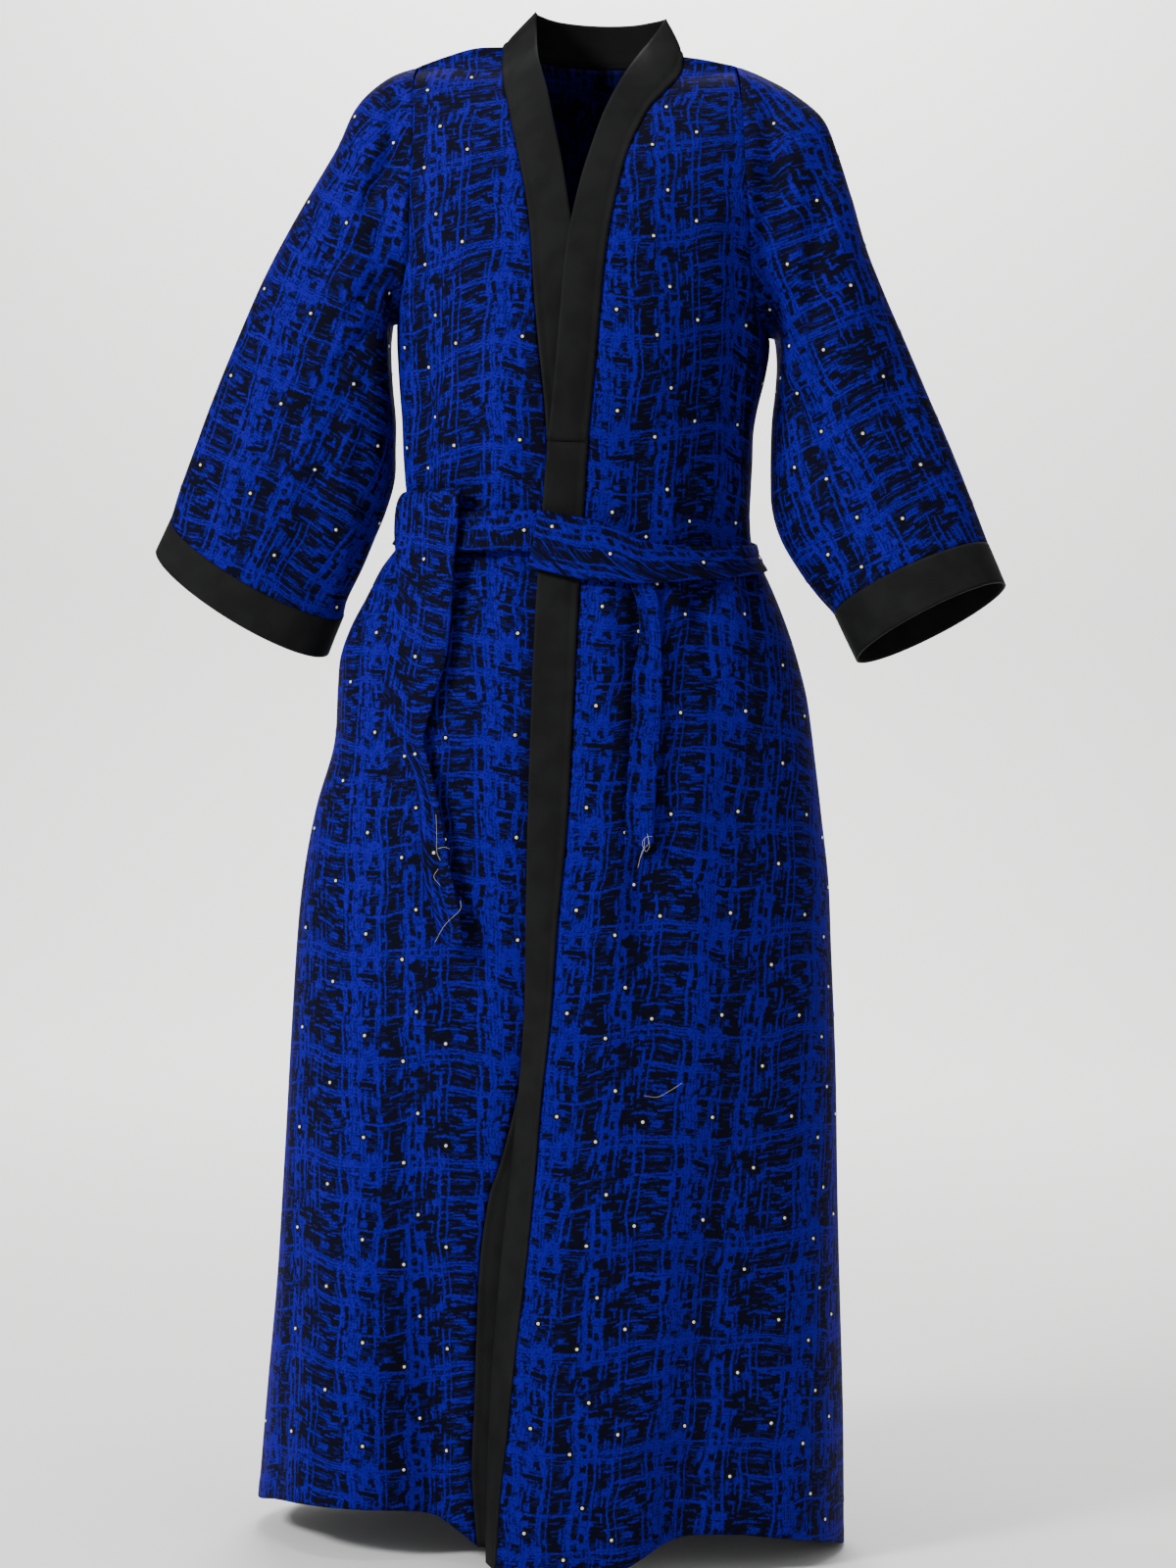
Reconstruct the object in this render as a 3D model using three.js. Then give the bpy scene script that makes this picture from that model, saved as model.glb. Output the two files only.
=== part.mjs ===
// A long open robe of printed cloth with a black neckband, black cuffs and a tied cloth belt,
// in the form it takes when worn. Millimetres, Z up, the front faces -Y, and the origin is the
// middle of the neck between the two high points of the shoulder seams.
import * as THREE from "three";

const clothThick = 1.6;
const bandThick = 2.2;
const beltThick = 2.2;
const seamGap = 0.44;
const layerStep = 2.7;
const levelArmpit = -252;

// Body sections: height, the two side edges, depth in front and depth behind.
const bodyColumns = ["z", "right", "left", "front", "back"];
const bodyTable = [
  [-60, -166, 128, -72, 84],
  [-160, -168, 138, -106, 98],
  [-252, -173, 159.5, -121, 102],
  [-283, -170.5, 157, -125, 101],
  [-310, -168, 151, -125, 99],
  [-335, -165.2, 147.5, -122, 96],
  [-361, -163.5, 147.5, -117, 92],
  [-387, -161, 147, -112, 89],
  [-414, -158, 147, -108, 88],
  [-440, -161.5, 151, -108, 91],
  [-467, -179, 165, -113, 99],
  [-493, -191, 177, -119, 109],
  [-520, -204, 188, -124, 118],
  [-547, -212.5, 197, -127, 125],
  [-573, -214, 204, -129, 130],
  [-625, -215.5, 212.5, -131, 134],
  [-679, -229, 220.5, -133, 136],
  [-731, -237.5, 228, -136, 137],
  [-784, -242, 232, -139, 139],
  [-889, -245, 239.5, -144, 143],
  [-995, -246.5, 245, -149, 148],
  [-1100, -249.5, 251.5, -154, 153],
  [-1205, -255, 258, -160, 158],
  [-1320, -260, 262.5, -166, 163],
];

// Heights of the cross rows below the armpit, from the hem up.
const levels = [
  -1306, -1250, -1190, -1125, -1055, -985, -915, -845, -775, -710, -650, -600, -556, -520,
  -490, -465, -443, -420, -392, -360, -330, -303, -277, -252,
];
const hemRows = 4;

// Hem height by place across, seen from the front, and behind.
const hemFront = [
  [-260, -1295], [-240, -1285], [-198, -1278], [-134, -1277], [-98, -1283], [-73, -1295], [-48, -1311],
  [0, -1319], [50, -1313], [75, -1302], [101, -1291], [128, -1285], [162, -1286], [208, -1294],
  [246, -1306], [263, -1319],
];
const hemBack = [[-260, -1295], [-150, -1308], [0, -1314], [150, -1316], [263, -1319]];

// Armhole edges, from the armpit up to the shoulder tip: x, front y, back y, z.
const armholeRight = [
  [-173, 0, 0, -249], [-170, -22, 24, -238], [-166, -42, 46, -221], [-162.5, -56, 61, -200],
  [-161.5, -64, 70, -178], [-162, -67, 74, -155], [-162, -66, 73, -132], [-161.5, -61, 68, -110],
  [-162, -53, 60, -88], [-163.5, -43, 48, -67], [-165, -31, 34, -47], [-165, -16, 17, -29],
  [-164, 1, 1, -19],
];
const armholeLeft = [
  [159.5, 0, 0, -250], [152, -22, 24, -242], [144, -42, 46, -228], [139.5, -56, 61, -209],
  [136, -64, 70, -185], [134, -67, 74, -160], [132, -66, 73, -135], [130, -61, 68, -110],
  [128.5, -54, 59, -86], [127, -44, 47, -62], [125.5, -31, 33, -40], [124, -16, 16, -20],
  [122, 1, 1, -8],
];
const upperRows = armholeRight.length - 1;

// Shoulder seams from the neck point to the tip: x, y, z.
const shoulderRight = [[-87, -4, 1], [-112, -3, -1], [-138, -1, -9], [-164, 1, -19]];
const shoulderLeft = [[73, -4, -2], [92, -3, -4], [107, -1, -6], [122, 1, -8]];

// Neck edges down both fronts: height, seam x, free edge x, free edge lift, and seam depth.
const neckLeft = [
  [-2, 73, 56.5, 34, -4], [-27, 59, 36, 24, -30], [-57, 45.6, 17, 17, -56], [-83, 34.2, 4.5, 13, -74],
  [-108, 25.6, -4.5, 8, -88], [-136, 19.5, -12.5, 5, -99], [-161, 15, -18, 2, -107],
  [-185, 11.6, -22, 0, -113], [-210, 9.2, -24.5, 0, -118], [-241, 7.6, -26, 0, -122],
  [-284, 5.6, -28, 0, -125], [-320, 3.4, -30, 0, -123], [-360, 1, -33, 0, -117],
  [-424, -0.6, -36, 0, -108], [-510, -2.5, -38.5, 0, -122], [-590, -3.6, -39, 0, -130],
  [-690, -5.4, -38.5, 0, -133], [-775, -10.5, -37, 0, -138], [-845, -12.8, -35.5, 0, -142],
  [-915, -18, -38, 0, -145], [-985, -21.5, -42, 0, -148], [-1055, -26, -47.5, 0, -152],
  [-1125, -32, -51, 0, -155], [-1190, -36.5, -52.5, 0, -159], [-1250, -41, -52.5, 0, -162],
  [-1320, -42.5, -51, 0, -166],
];
const neckRight = [
  [-2, -87, -59, 35, -4], [-34, -84, -55, 22, -36], [-62, -79, -45.5, 14, -60], [-90, -73, -38, 9, -78],
  [-120, -66, -30, 4, -93], [-150, -59.5, -23.5, 0, -103], [-188, -53.6, -17, 0, -114],
  [-222, -51, -14, 0, -120], [-254, -47.6, -10.5, 0, -124], [-285, -43.6, -6, 0, -125],
  [-320, -38, -2, 0, -123], [-360, -34, 2, 0, -117], [-424, -30, 6, 0, -108], [-510, -29, 8, 0, -122],
  [-690, -28, 9, 0, -133], [-820, -29, 8, 0, -140], [-890, -35, 1, 0, -144], [-930, -41, -5, 0, -146],
  [-981, -52.5, -16, 0, -148], [-1006, -60, -23, 0, -150], [-1068, -66, -28, 0, -152],
  [-1190, -66.5, -28, 0, -159], [-1250, -66.5, -29, 0, -162], [-1320, -58, -26, 0, -166],
];
// How far the free edge of the over band is turned inward, and how deep the under front hangs.
const overTurn = [[-1320, 24], [-1190, 22], [-1055, 18], [-915, 10], [-775, 4], [-600, 0], [-420, 0]];
const underSink = [[-1320, 34], [-1190, 31], [-1055, 26], [-915, 16], [-775, 8], [-600, 0], [-420, 0]];

// Neck edge behind: x, seam y, seam z, free edge x, free edge y, free edge z.
const neckBack = [
  [-87, -4, 1, -59, 4, 35], [-77, 25, 1, -56, 26, 38], [-48, 50, 0, -38, 46, 38],
  [-7, 60, -1, -7, 55, 38], [33, 50, -1, 25, 46, 37], [60, 26, 0, 47, 26, 36], [73, -4, -2, 56.5, 4, 33],
];

// Chest: middle x, middle z, spread across, spread up, and how far it stands out.
const chestShape = [[-72, -292, 46, 52, 11], [60, -292, 46, 52, 11]];

// Large folds of the body: side, x and z of both ends, half width, depth at both ends.
const bodyFolds = [
  ["front", -141, -285, -151, -400, 13, -6, -8],
  ["front", 136, -150, 128, -425, 16, -5, -7],
  ["front", 112, -420, 96, -545, 9, -5, 0],
  ["front", 140, -425, 150, -560, 11, -6, 0],
  ["front", 49, -470, 62, -760, 15, -6, -4],
  ["front", 62, -760, 74, -1010, 24, -4, 0],
  ["front", -96, -450, -108, -640, 12, -5, 0],
  ["front", -140, -450, -172, -620, 12, -6, 0],
  ["front", -150, -800, -98, -1330, 30, -2, -15],
  ["front", 158, -860, 112, -1330, 32, -3, -14],
  ["front", -200, -820, -214, -1330, 30, 0, 5],
  ["front", 30, -900, 22, -1330, 40, 0, 5],
  ["front", 214, -900, 216, -1330, 28, 0, 5],
  ["back", -92, -170, -70, -420, 26, -3, -8],
  ["back", 76, -170, 56, -420, 26, -3, -8],
  ["back", -7, -300, -7, -440, 16, -2, -6],
  ["back", -110, -430, -128, -700, 16, -7, 0],
  ["back", 98, -430, 116, -700, 16, -7, 0],
  ["back", -20, -450, -34, -900, 22, -5, -3],
  ["back", -150, -700, -168, -1330, 34, -2, -16],
  ["back", -62, -760, -70, -1330, 32, -2, -15],
  ["back", 34, -720, 46, -1330, 34, -2, -17],
  ["back", 132, -760, 150, -1330, 34, -2, -15],
];

// Sleeve rings from the armhole to the cuff: outer x and z, inner x and z, middle y,
// depth in front and behind, and tilt of the ring in degrees.
const sleeveRightRings = [
  [-164, -19, -173, -249, 0, 66, 72, 0],
  [-190, -31, -180, -252, 1, 66, 71, 0],
  [-215, -54.5, -181, -264, 2, 65, 69, -2],
  [-231.4, -91, -179.5, -282.5, 4, 63, 66, -4],
  [-250.7, -126.6, -176, -308, 7, 60, 63, -7],
  [-271, -164, -172.5, -334, 10, 57, 59, -10],
  [-292.6, -205.6, -172, -359.4, 14, 54, 55, -13],
  [-308, -240, -172, -386, 18, 50, 52, -16],
  [-324.8, -281.8, -178.5, -412, 23, 47, 48, -18],
  [-340.6, -324.5, -189, -438.7, 28, 44, 45, -20],
  [-354.6, -364, -199.6, -464.6, 34, 42, 42, -22],
  [-367.6, -400, -212.2, -491.5, 40, 40, 40, -24],
  [-375.2, -426, -216, -507.6, 44, 42, 40, -29],
];
const cuffRightRings = [
  [-375.2, -426, -216, -507.6, 44, 42, 40, -29],
  [-381.7, -440, -222.5, -524, 47, 43, 40, -30],
  [-388.3, -454.3, -228.8, -541, 50, 44, 40, -31],
];
const sleeveLeftRings = [
  [122, -8, 159.5, -250, 0, 66, 72, 0],
  [147, -17.6, 170, -252, 0, 66, 71, 0],
  [173.4, -31.2, 173.5, -261, -2, 65, 69, 1],
  [199.5, -53.4, 171, -278, -6, 64, 67, 2],
  [214.2, -87.2, 167, -298, -10, 63, 65, 3],
  [226.7, -127, 164, -323, -15, 61, 63, 4],
  [241, -171.7, 163.5, -350, -20, 60, 61, 6],
  [261, -219.6, 163.8, -379, -27, 58, 59, 8],
  [280.3, -263, 165.8, -405.3, -34, 57, 57, 9],
  [299, -306.7, 174.1, -431.6, -42, 57, 57, 10],
  [317.8, -350, 189.8, -457.8, -50, 57, 57, 11],
  [333.4, -389, 206.3, -480, -58, 58, 58, 12],
  [351.8, -435.7, 221.2, -496, -66, 59, 59, 13],
];
const cuffLeftRings = [
  [351.8, -435.7, 221.2, -496, -66, 59, 59, 13],
  [359, -453, 231, -516, -71, 60, 60, 13],
  [366, -470.5, 240.8, -535.5, -76, 61, 61, 13],
];

// Large folds of the sleeves: x and z of both ends seen from the front, half width, and depth at
// both ends, then the same behind.
const sleeveRightFolds = [
  ["front", -176, -110, -196, -262, 15, -9, -4],
  ["front", -212, -320, -262, -478, 14, -5, -3],
  ["front", -262, -205, -312, -372, 18, 3, 3],
  ["back", -190, -120, -214, -300, 18, -8, -4],
  ["back", -250, -260, -300, -430, 18, -6, -3],
];
const sleeveLeftFolds = [
  ["front", 146, -120, 150, -262, 12, -8, -5],
  ["front", 198, -95, 186, -330, 15, -8, -7],
  ["front", 186, -330, 232, -450, 15, -7, -3],
  ["back", 172, -120, 192, -300, 18, -8, -4],
  ["back", 236, -260, 282, -430, 18, -6, -3],
];

// Belt: turn about the body in degrees from the middle of the front, top, bottom, and how far out.
const beltTable = [
  [4, -426, -458, 6.2], [-16, -420, -456, 6.4], [-36, -422, -456, 8], [-52, -417, -452, 10.6],
  [-66, -413, -449, 9.8], [-90, -409, -446, 4.6], [-120, -408, -447, 4.4], [-150, -409, -448, 4.4],
  [-180, -411, -451, 4.4], [-210, -416, -454, 4.4], [-240, -424, -458, 4.4], [-270, -434, -457, 4.4],
  [-292, -439, -463, 5.2], [-312, -443, -470, 7.6], [-326, -446, -475, 9.4], [-340, -444, -480, 12],
  [-350, -433, -480, 12.4], [-358, -427, -479, 12.2], [-366, -423, -474, 12], [-372.5, -420, -469, 11.8],
];
const beltStations = 64;

// Hanging ends: height of the strip's middle, left x, right x, how far out, height step across.
const tailRightTable = [
  [-428, -142, -106, 4.2], [-413, -143, -104, 4.2], [-405, -145, -102, 6.6], [-402.5, -147, -101, 10],
  [-406, -149, -101, 14], [-417, -150, -100, 15.8], [-440, -151, -101, 15.6], [-462, -152, -104, 14],
  [-490, -154, -106, 10.4], [-520, -157, -108, 8.4], [-552, -160, -111, 7.8], [-580, -162, -118, 8],
  [-604, -156, -124, 8.6], [-622, -147, -126, 9.8], [-645, -134, -119, 10.2], [-672, -128, -112, 9.4],
  [-705, -126, -106, 8.4], [-740, -122, -98, 7.8], [-770, -112, -91, 7.6], [-792, -108, -88, 7.8],
];
const tailLeftTable = [
  [-448, 38, 58, 8.6], [-462, 38, 58, 8.8], [-480, 40, 60, 6.6], [-500, 47, 65, 6.4],
  [-530, 49, 67, 7], [-562, 45, 70, 7], [-600, 45, 69, 7], [-640, 44, 68, 7],
  [-675, 43, 67, 7.2], [-704, 43, 67, 7.6],
];

const frontColumns = 10;
const bandSteps = 3;
const neckColumns = neckBack.length - 1;
const crossSeamRow = levels.length - 5;
const bodyMiddle = -7;
const shoulderRound = 0.5;
const neckRound = 0.85;
const cornerAngle = 0.5;
const tiny = 1e-9;

function blend(a, b, t) {
  return a + (b - a) * t;
}

function clamp(v, low, high) {
  return Math.min(high, Math.max(low, v));
}

function smooth(v) {
  const t = clamp(v, 0, 1);
  return t * t * (3 - 2 * t);
}

// Value of one column of a table at a key, by a smooth curve through the rows.
function lookUp(table, key, column, keyColumn = 0) {
  const rising = table[table.length - 1][keyColumn] > table[0][keyColumn];
  const isPast = (row) => (rising ? key > row[keyColumn] : key < row[keyColumn]);
  let k = 0;
  while (k < table.length - 2 && isPast(table[k + 1])) k += 1;
  const before = table[Math.max(0, k - 1)];
  const low = table[k];
  const high = table[k + 1];
  const after = table[Math.min(table.length - 1, k + 2)];
  const span = high[keyColumn] - low[keyColumn];
  const t = clamp((key - low[keyColumn]) / span, 0, 1);
  const slopeLow = (high[column] - before[column]) / (high[keyColumn] - before[keyColumn] || span) * span;
  const slopeHigh = (after[column] - low[column]) / (after[keyColumn] - low[keyColumn] || span) * span;
  const t2 = t * t;
  const t3 = t2 * t;
  return (2 * t3 - 3 * t2 + 1) * low[column] + (t3 - 2 * t2 + t) * slopeLow
    + (3 * t2 - 2 * t3) * high[column] + (t3 - t2) * slopeHigh;
}

// Point on a table of rows at a share of its length counted in rows.
function alongRows(rows, share, column) {
  const keyed = rows.map((row, i) => [i / (rows.length - 1), row[column]]);
  return lookUp(keyed, share, 1);
}

function section(z) {
  const row = {};
  bodyColumns.forEach((name, i) => {
    row[name] = i === 0 ? z : lookUp(bodyTable, z, i);
  });
  row.middle = (row.right + row.left) / 2;
  row.half = (row.left - row.right) / 2;
  return row;
}

// Sum of the folds at a point seen from the front or from behind.
function foldDepth(folds, side, x, z) {
  let sum = 0;
  for (const [where, x1, z1, x2, z2, width, depth1, depth2] of folds) {
    if (where !== side) continue;
    const along = (z - z1) / (z2 - z1);
    const t = clamp(along, 0, 1);
    const beyond = (along - t) * (z2 - z1);
    const across = x - blend(x1, x2, t);
    const far = (across * across + beyond * beyond * 0.35) / (width * width);
    sum += blend(depth1, depth2, t) * Math.exp(-far);
  }
  return sum;
}

function chestOut(x, z) {
  let sum = 0;
  for (const [cx, cz, wide, tall, out] of chestShape) {
    sum += out * Math.exp(-(((x - cx) / wide) ** 2) - ((z - cz) / tall) ** 2);
  }
  return sum;
}

// Front surface of the body at a place, without the lap of the two fronts.
function frontDepth(x, z) {
  const s = section(z);
  const across = clamp((x - s.middle) / s.half, -1, 1);
  const plain = s.front * Math.sqrt(Math.max(0, 1 - across ** 2));
  return plain - chestOut(x, z) - foldDepth(bodyFolds, "front", x, z);
}

function pushOut(point, s, side, lap) {
  const depth = side === "front" ? s.front : s.back;
  const out = new THREE.Vector3((point.x - s.middle) / s.half, (point.y / Math.abs(depth)) || 0, 0);
  const length = Math.max(out.length(), tiny);
  out.divideScalar(length);
  const chest = side === "front" ? chestOut(point.x, point.z) : 0;
  const edge = smooth((s.half - Math.abs(point.x - s.middle)) / 24);
  point.addScaledVector(out, foldDepth(bodyFolds, side, point.x, point.z) * edge);
  point.y -= chest * edge + lap;
  return point;
}

// How far a front is lifted (over front) or sunk (under front) where the two fronts lap.
function lapAt(side, x, z) {
  const across = 1 - smooth((Math.abs(x + 20) - 50) / 60);
  const lift = layerStep * across * smooth((-60 - z) / 90);
  if (side === "left") return lift;
  const sink = lookUp(underSink, clamp(z, -1320, -420), 1) * smooth((x + 190) / 110);
  return -lift - sink;
}

function hemShift(x, rowIndex, side) {
  const hem = lookUp(side === "front" ? hemFront : hemBack, clamp(x, -260, 263), 1);
  return (hem - levels[0]) * (1 - smooth(rowIndex / hemRows));
}

// One front of the robe: rows from the hem to the shoulder, columns from the band to the side.
function frontGrid(side) {
  const left = side === "left";
  const neck = left ? neckLeft : neckRight;
  const armhole = left ? armholeLeft : armholeRight;
  const shoulder = left ? shoulderLeft : shoulderRight;
  const grid = [];
  levels.slice(0, -1).forEach((z, i) => {
    const s = section(z);
    const edgeX = lookUp(neck, z, 1);
    const sideX = left ? s.left : s.right;
    const start = Math.asin(clamp((edgeX - s.middle) / s.half, -1, 1));
    const end = left ? Math.PI / 2 : -Math.PI / 2;
    const row = [];
    for (let c = 0; c <= frontColumns; c += 1) {
      const turn = blend(start, end, c / frontColumns);
      const x = c === frontColumns ? sideX : s.middle + s.half * Math.sin(turn);
      const point = new THREE.Vector3(x, s.front * Math.max(0, Math.cos(turn)), z + hemShift(x, i, "front"));
      row.push(pushOut(point, s, "front", lapAt(side, x, z)));
    }
    grid.push(row);
  });
  for (let j = 0; j <= upperRows; j += 1) {
    const rise = j / upperRows;
    const outer = armhole[j];
    const neckZ = blend(levelArmpit, neck[0][0], rise);
    const innerX = lookUp(neck, neckZ, 1);
    const innerY = lookUp(neck, neckZ, 4);
    const round = 1 - 0.85 * smooth(rise);
    const s = section(Math.min(neckZ, -60));
    const row = [];
    for (let c = 0; c <= frontColumns; c += 1) {
      const t = c / frontColumns;
      const curveX = blend(t, Math.sin(t * Math.PI / 2), round);
      const curveY = blend(t, 1 - Math.cos(t * Math.PI / 2), round);
      const x = blend(innerX, outer[0], curveX);
      let z = blend(neckZ, outer[3], smooth(t) * 0.6 + t * 0.4);
      let y = blend(innerY, outer[1], curveY);
      if (j === upperRows) {
        z = alongRows(shoulder, t, 2);
        y = alongRows(shoulder, t, 1);
      }
      const point = new THREE.Vector3(x, y, z);
      if (j === upperRows) point.x = alongRows(shoulder, t, 0);
      else if (c < frontColumns) pushOut(point, s, "front", lapAt(side, x, z));
      row.push(point);
    }
    grid.push(row);
  }
  return grid;
}

// The back: columns run from the side seam of the right side to that of the left side.
function backGrid() {
  const columns = frontColumns * 2 + neckColumns;
  const grid = [];
  levels.slice(0, -1).forEach((z, i) => {
    const s = section(z);
    const row = [];
    for (let c = 0; c <= columns; c += 1) {
      const turn = blend(-Math.PI / 2, Math.PI / 2, c / columns);
      const x = c === 0 ? s.right : c === columns ? s.left : s.middle + s.half * Math.sin(turn);
      const point = new THREE.Vector3(x, s.back * Math.max(0, Math.cos(turn)), z + hemShift(x, i, "back"));
      row.push(pushOut(point, s, "back", 0));
    }
    grid.push(row);
  });
  const top = [];
  for (let c = frontColumns; c >= 0; c -= 1) {
    top.push([0, 1, 2].map((k) => alongRows(shoulderRight, c / frontColumns, k)));
  }
  for (let c = 1; c < neckColumns; c += 1) top.push(neckBack[c].slice(0, 3));
  for (let c = 0; c <= frontColumns; c += 1) {
    top.push([0, 1, 2].map((k) => alongRows(shoulderLeft, c / frontColumns, k)));
  }
  const base = section(levelArmpit);
  for (let j = 0; j <= upperRows; j += 1) {
    const rise = j / upperRows;
    const right = armholeRight[j];
    const left = armholeLeft[j];
    const row = [];
    for (let c = 0; c <= columns; c += 1) {
      const topPoint = top[c];
      const turn = blend(-Math.PI / 2, Math.PI / 2, c / columns);
      const baseT = (Math.sin(turn) + 1) / 2;
      const topT = (topPoint[0] - top[0][0]) / (top[columns][0] - top[0][0]);
      const t = blend(baseT, topT, smooth(rise));
      const x = blend(right[0], left[0], t);
      const nearEdge = Math.abs(2 * t - 1) ** 5;
      const baseY = base.back * Math.sqrt(Math.max(0, 1 - (2 * baseT - 1) ** 2));
      const nearNeck = 1 - smooth((Math.abs(c - columns / 2) - neckColumns / 2) / 5);
      const lift = (1 - rise) ** blend(shoulderRound, neckRound, nearNeck);
      const bodyY = blend(topPoint[1], baseY, lift);
      const edgeY = blend(right[2], left[2], t) - (1 - lift);
      const bodyZ = blend(levelArmpit, topPoint[2], rise);
      const tipZ = blend(top[0][2], top[columns][2], t);
      const edgeZ = blend(right[3], left[3], t) - blend(levelArmpit, tipZ, rise);
      const point = new THREE.Vector3(x, bodyY + edgeY * nearEdge, bodyZ + edgeZ * nearEdge);
      if (c === 0) point.set(right[0], right[2], right[3]);
      if (c === columns) point.set(left[0], left[2], left[3]);
      if (j === upperRows) point.set(...topPoint);
      else if (c > 0 && c < columns) pushOut(point, section(clamp(bodyZ, -400, -60)), "back", 0);
      row.push(point);
    }
    grid.push(row);
  }
  return grid;
}

function ringPoint(ring, turn, extra) {
  const [ox, oz, ix, iz, y, front, back, tilt] = ring;
  const along = (1 + Math.cos(turn)) / 2;
  const sideways = Math.sin(turn);
  const depth = sideways >= 0 ? front : back;
  const lean = tilt * Math.PI / 180;
  return new THREE.Vector3(
    blend(ix, ox, along),
    y - (depth + extra) * sideways * Math.cos(lean),
    blend(iz, oz, along) + (depth + extra) * sideways * Math.sin(lean),
  );
}

// A sleeve as rings: round the ring the front comes first, from the shoulder tip to the armpit.
function sleeveGrid(rings, armhole, folds) {
  const count = upperRows * 2;
  const start = [];
  for (let k = 0; k < count; k += 1) {
    const row = k <= upperRows ? armhole[upperRows - k] : armhole[k - upperRows];
    start.push(new THREE.Vector3(row[0], k <= upperRows ? row[1] : row[2], row[3]));
  }
  return rings.map((ring, r) => {
    const keep = 1 - smooth(r / 5);
    return start.map((from, k) => {
      const turn = 2 * Math.PI * k / count;
      if (r === 0) return from.clone();
      const point = ringPoint(ring, turn, 0);
      const first = ringPoint(rings[0], turn, 0);
      point.addScaledVector(from.clone().sub(first), keep);
      const side = Math.sin(turn) >= 0 ? "front" : "back";
      const fold = foldDepth(folds, side, point.x, point.z) * Math.min(1, Math.abs(Math.sin(turn)) * 2);
      const middle = new THREE.Vector3((ring[0] + ring[2]) / 2, ring[4], (ring[1] + ring[3]) / 2);
      const out = point.clone().sub(middle).normalize();
      const last = r === rings.length - 1 ? 0 : 1;
      return point.addScaledVector(out, fold * last);
    });
  });
}

function cuffGrid(rings, seam) {
  const count = upperRows * 2;
  return rings.map((ring, r) => {
    return seam.map((from, k) => (r === 0 ? from.clone() : ringPoint(ring, 2 * Math.PI * k / count, 0)));
  });
}

// A strip sewn along one edge of a panel: seam points are given and the free edge is worked out.
function bandStrip(seam, free, steps) {
  return seam.map((from, i) => {
    const row = [];
    for (let c = 0; c <= steps; c += 1) row.push(from.clone().lerp(free[i], c / steps));
    return row;
  });
}

function freeEdge(side, point) {
  const neck = side === "left" ? neckLeft : neckRight;
  const z = clamp(point.z, -1320, neck[0][0]);
  const x = lookUp(neck, z, 2);
  const lift = lookUp(neck, z, 3);
  const turned = side === "left" ? lookUp(overTurn, clamp(z, -1320, -420), 1) : 0;
  const lapChange = lapAt(side, point.x, z) - lapAt(side, x, z);
  const low = smooth((-130 - z) / 60);
  const bodyChange = (frontDepth(x, z) - frontDepth(point.x, z)) * low;
  const high = smooth((z + 110) / 110);
  const y = point.y + lapChange + bodyChange + turned - 6 * Math.sin(high * Math.PI) + 8 * high * high;
  return new THREE.Vector3(x, y, point.z + lift);
}

function beltGrid() {
  const grid = [];
  const first = beltTable[0][0];
  const last = beltTable[beltTable.length - 1][0];
  for (let i = 0; i <= beltStations; i += 1) {
    const degrees = blend(first, last, i / beltStations);
    const turn = degrees * Math.PI / 180;
    const top = lookUp(beltTable, degrees, 1);
    const bottom = lookUp(beltTable, degrees, 2);
    const out = lookUp(beltTable, degrees, 3);
    const row = [];
    for (let c = 0; c <= 2; c += 1) {
      const z = blend(bottom, top, c / 2);
      const s = section(clamp(z, -470, -405));
      const depth = Math.cos(turn) >= 0 ? s.front : s.back;
      const x = s.middle + s.half * Math.sin(turn);
      const y = depth * Math.abs(Math.cos(turn));
      const away = new THREE.Vector3(Math.sin(turn) / s.half, (y / depth ** 2), 0).normalize();
      row.push(new THREE.Vector3(x, y, z).addScaledVector(away, out));
    }
    grid.push(row);
  }
  return grid;
}

function tailGrid(table, steps) {
  return table.map(([z, leftX, rightX, out]) => {
    const row = [];
    for (let c = 0; c <= steps; c += 1) {
      const x = blend(leftX, rightX, c / steps);
      const s = section(z);
      const across = clamp((x - s.middle) / s.half, -1, 1);
      const point = new THREE.Vector3(x, s.front * Math.sqrt(1 - across ** 2), z);
      const away = new THREE.Vector3(across / s.half, point.y / s.front ** 2, 0).normalize();
      row.push(point.addScaledVector(away, out));
    }
    return row;
  });
}

// Sheets: each keeps its points, the direction of its wall at each point and how it closes.
function makeSheet(name, grid, thick, colour, round = false) {
  return { name, grid, thick, colour, round, normals: [] };
}

function findNormals(sheet) {
  const { grid, round } = sheet;
  const rows = grid.length;
  const columns = grid[0].length;
  sheet.normals = grid.map((row, i) => row.map((point, j) => {
    const up = grid[Math.min(rows - 1, i + 1)][j].clone().sub(grid[Math.max(0, i - 1)][j]);
    const next = round ? (j + 1) % columns : Math.min(columns - 1, j + 1);
    const last = round ? (j + columns - 1) % columns : Math.max(0, j - 1);
    const side = row[next].clone().sub(row[last]);
    return side.cross(up).normalize();
  }));
  let outward = 0;
  grid.forEach((row, i) => {
    const middle = new THREE.Vector3(round ? 0 : bodyMiddle, 0, 0);
    if (round) row.forEach((point) => middle.addScaledVector(point, 1 / columns));
    row.forEach((point, j) => {
      const from = point.clone().sub(middle);
      if (!round) from.z = 0;
      outward += Math.sign(from.dot(sheet.normals[i][j]));
    });
  });
  if (outward < 0) sheet.normals.forEach((row) => row.forEach((normal) => normal.negate()));
}

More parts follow.
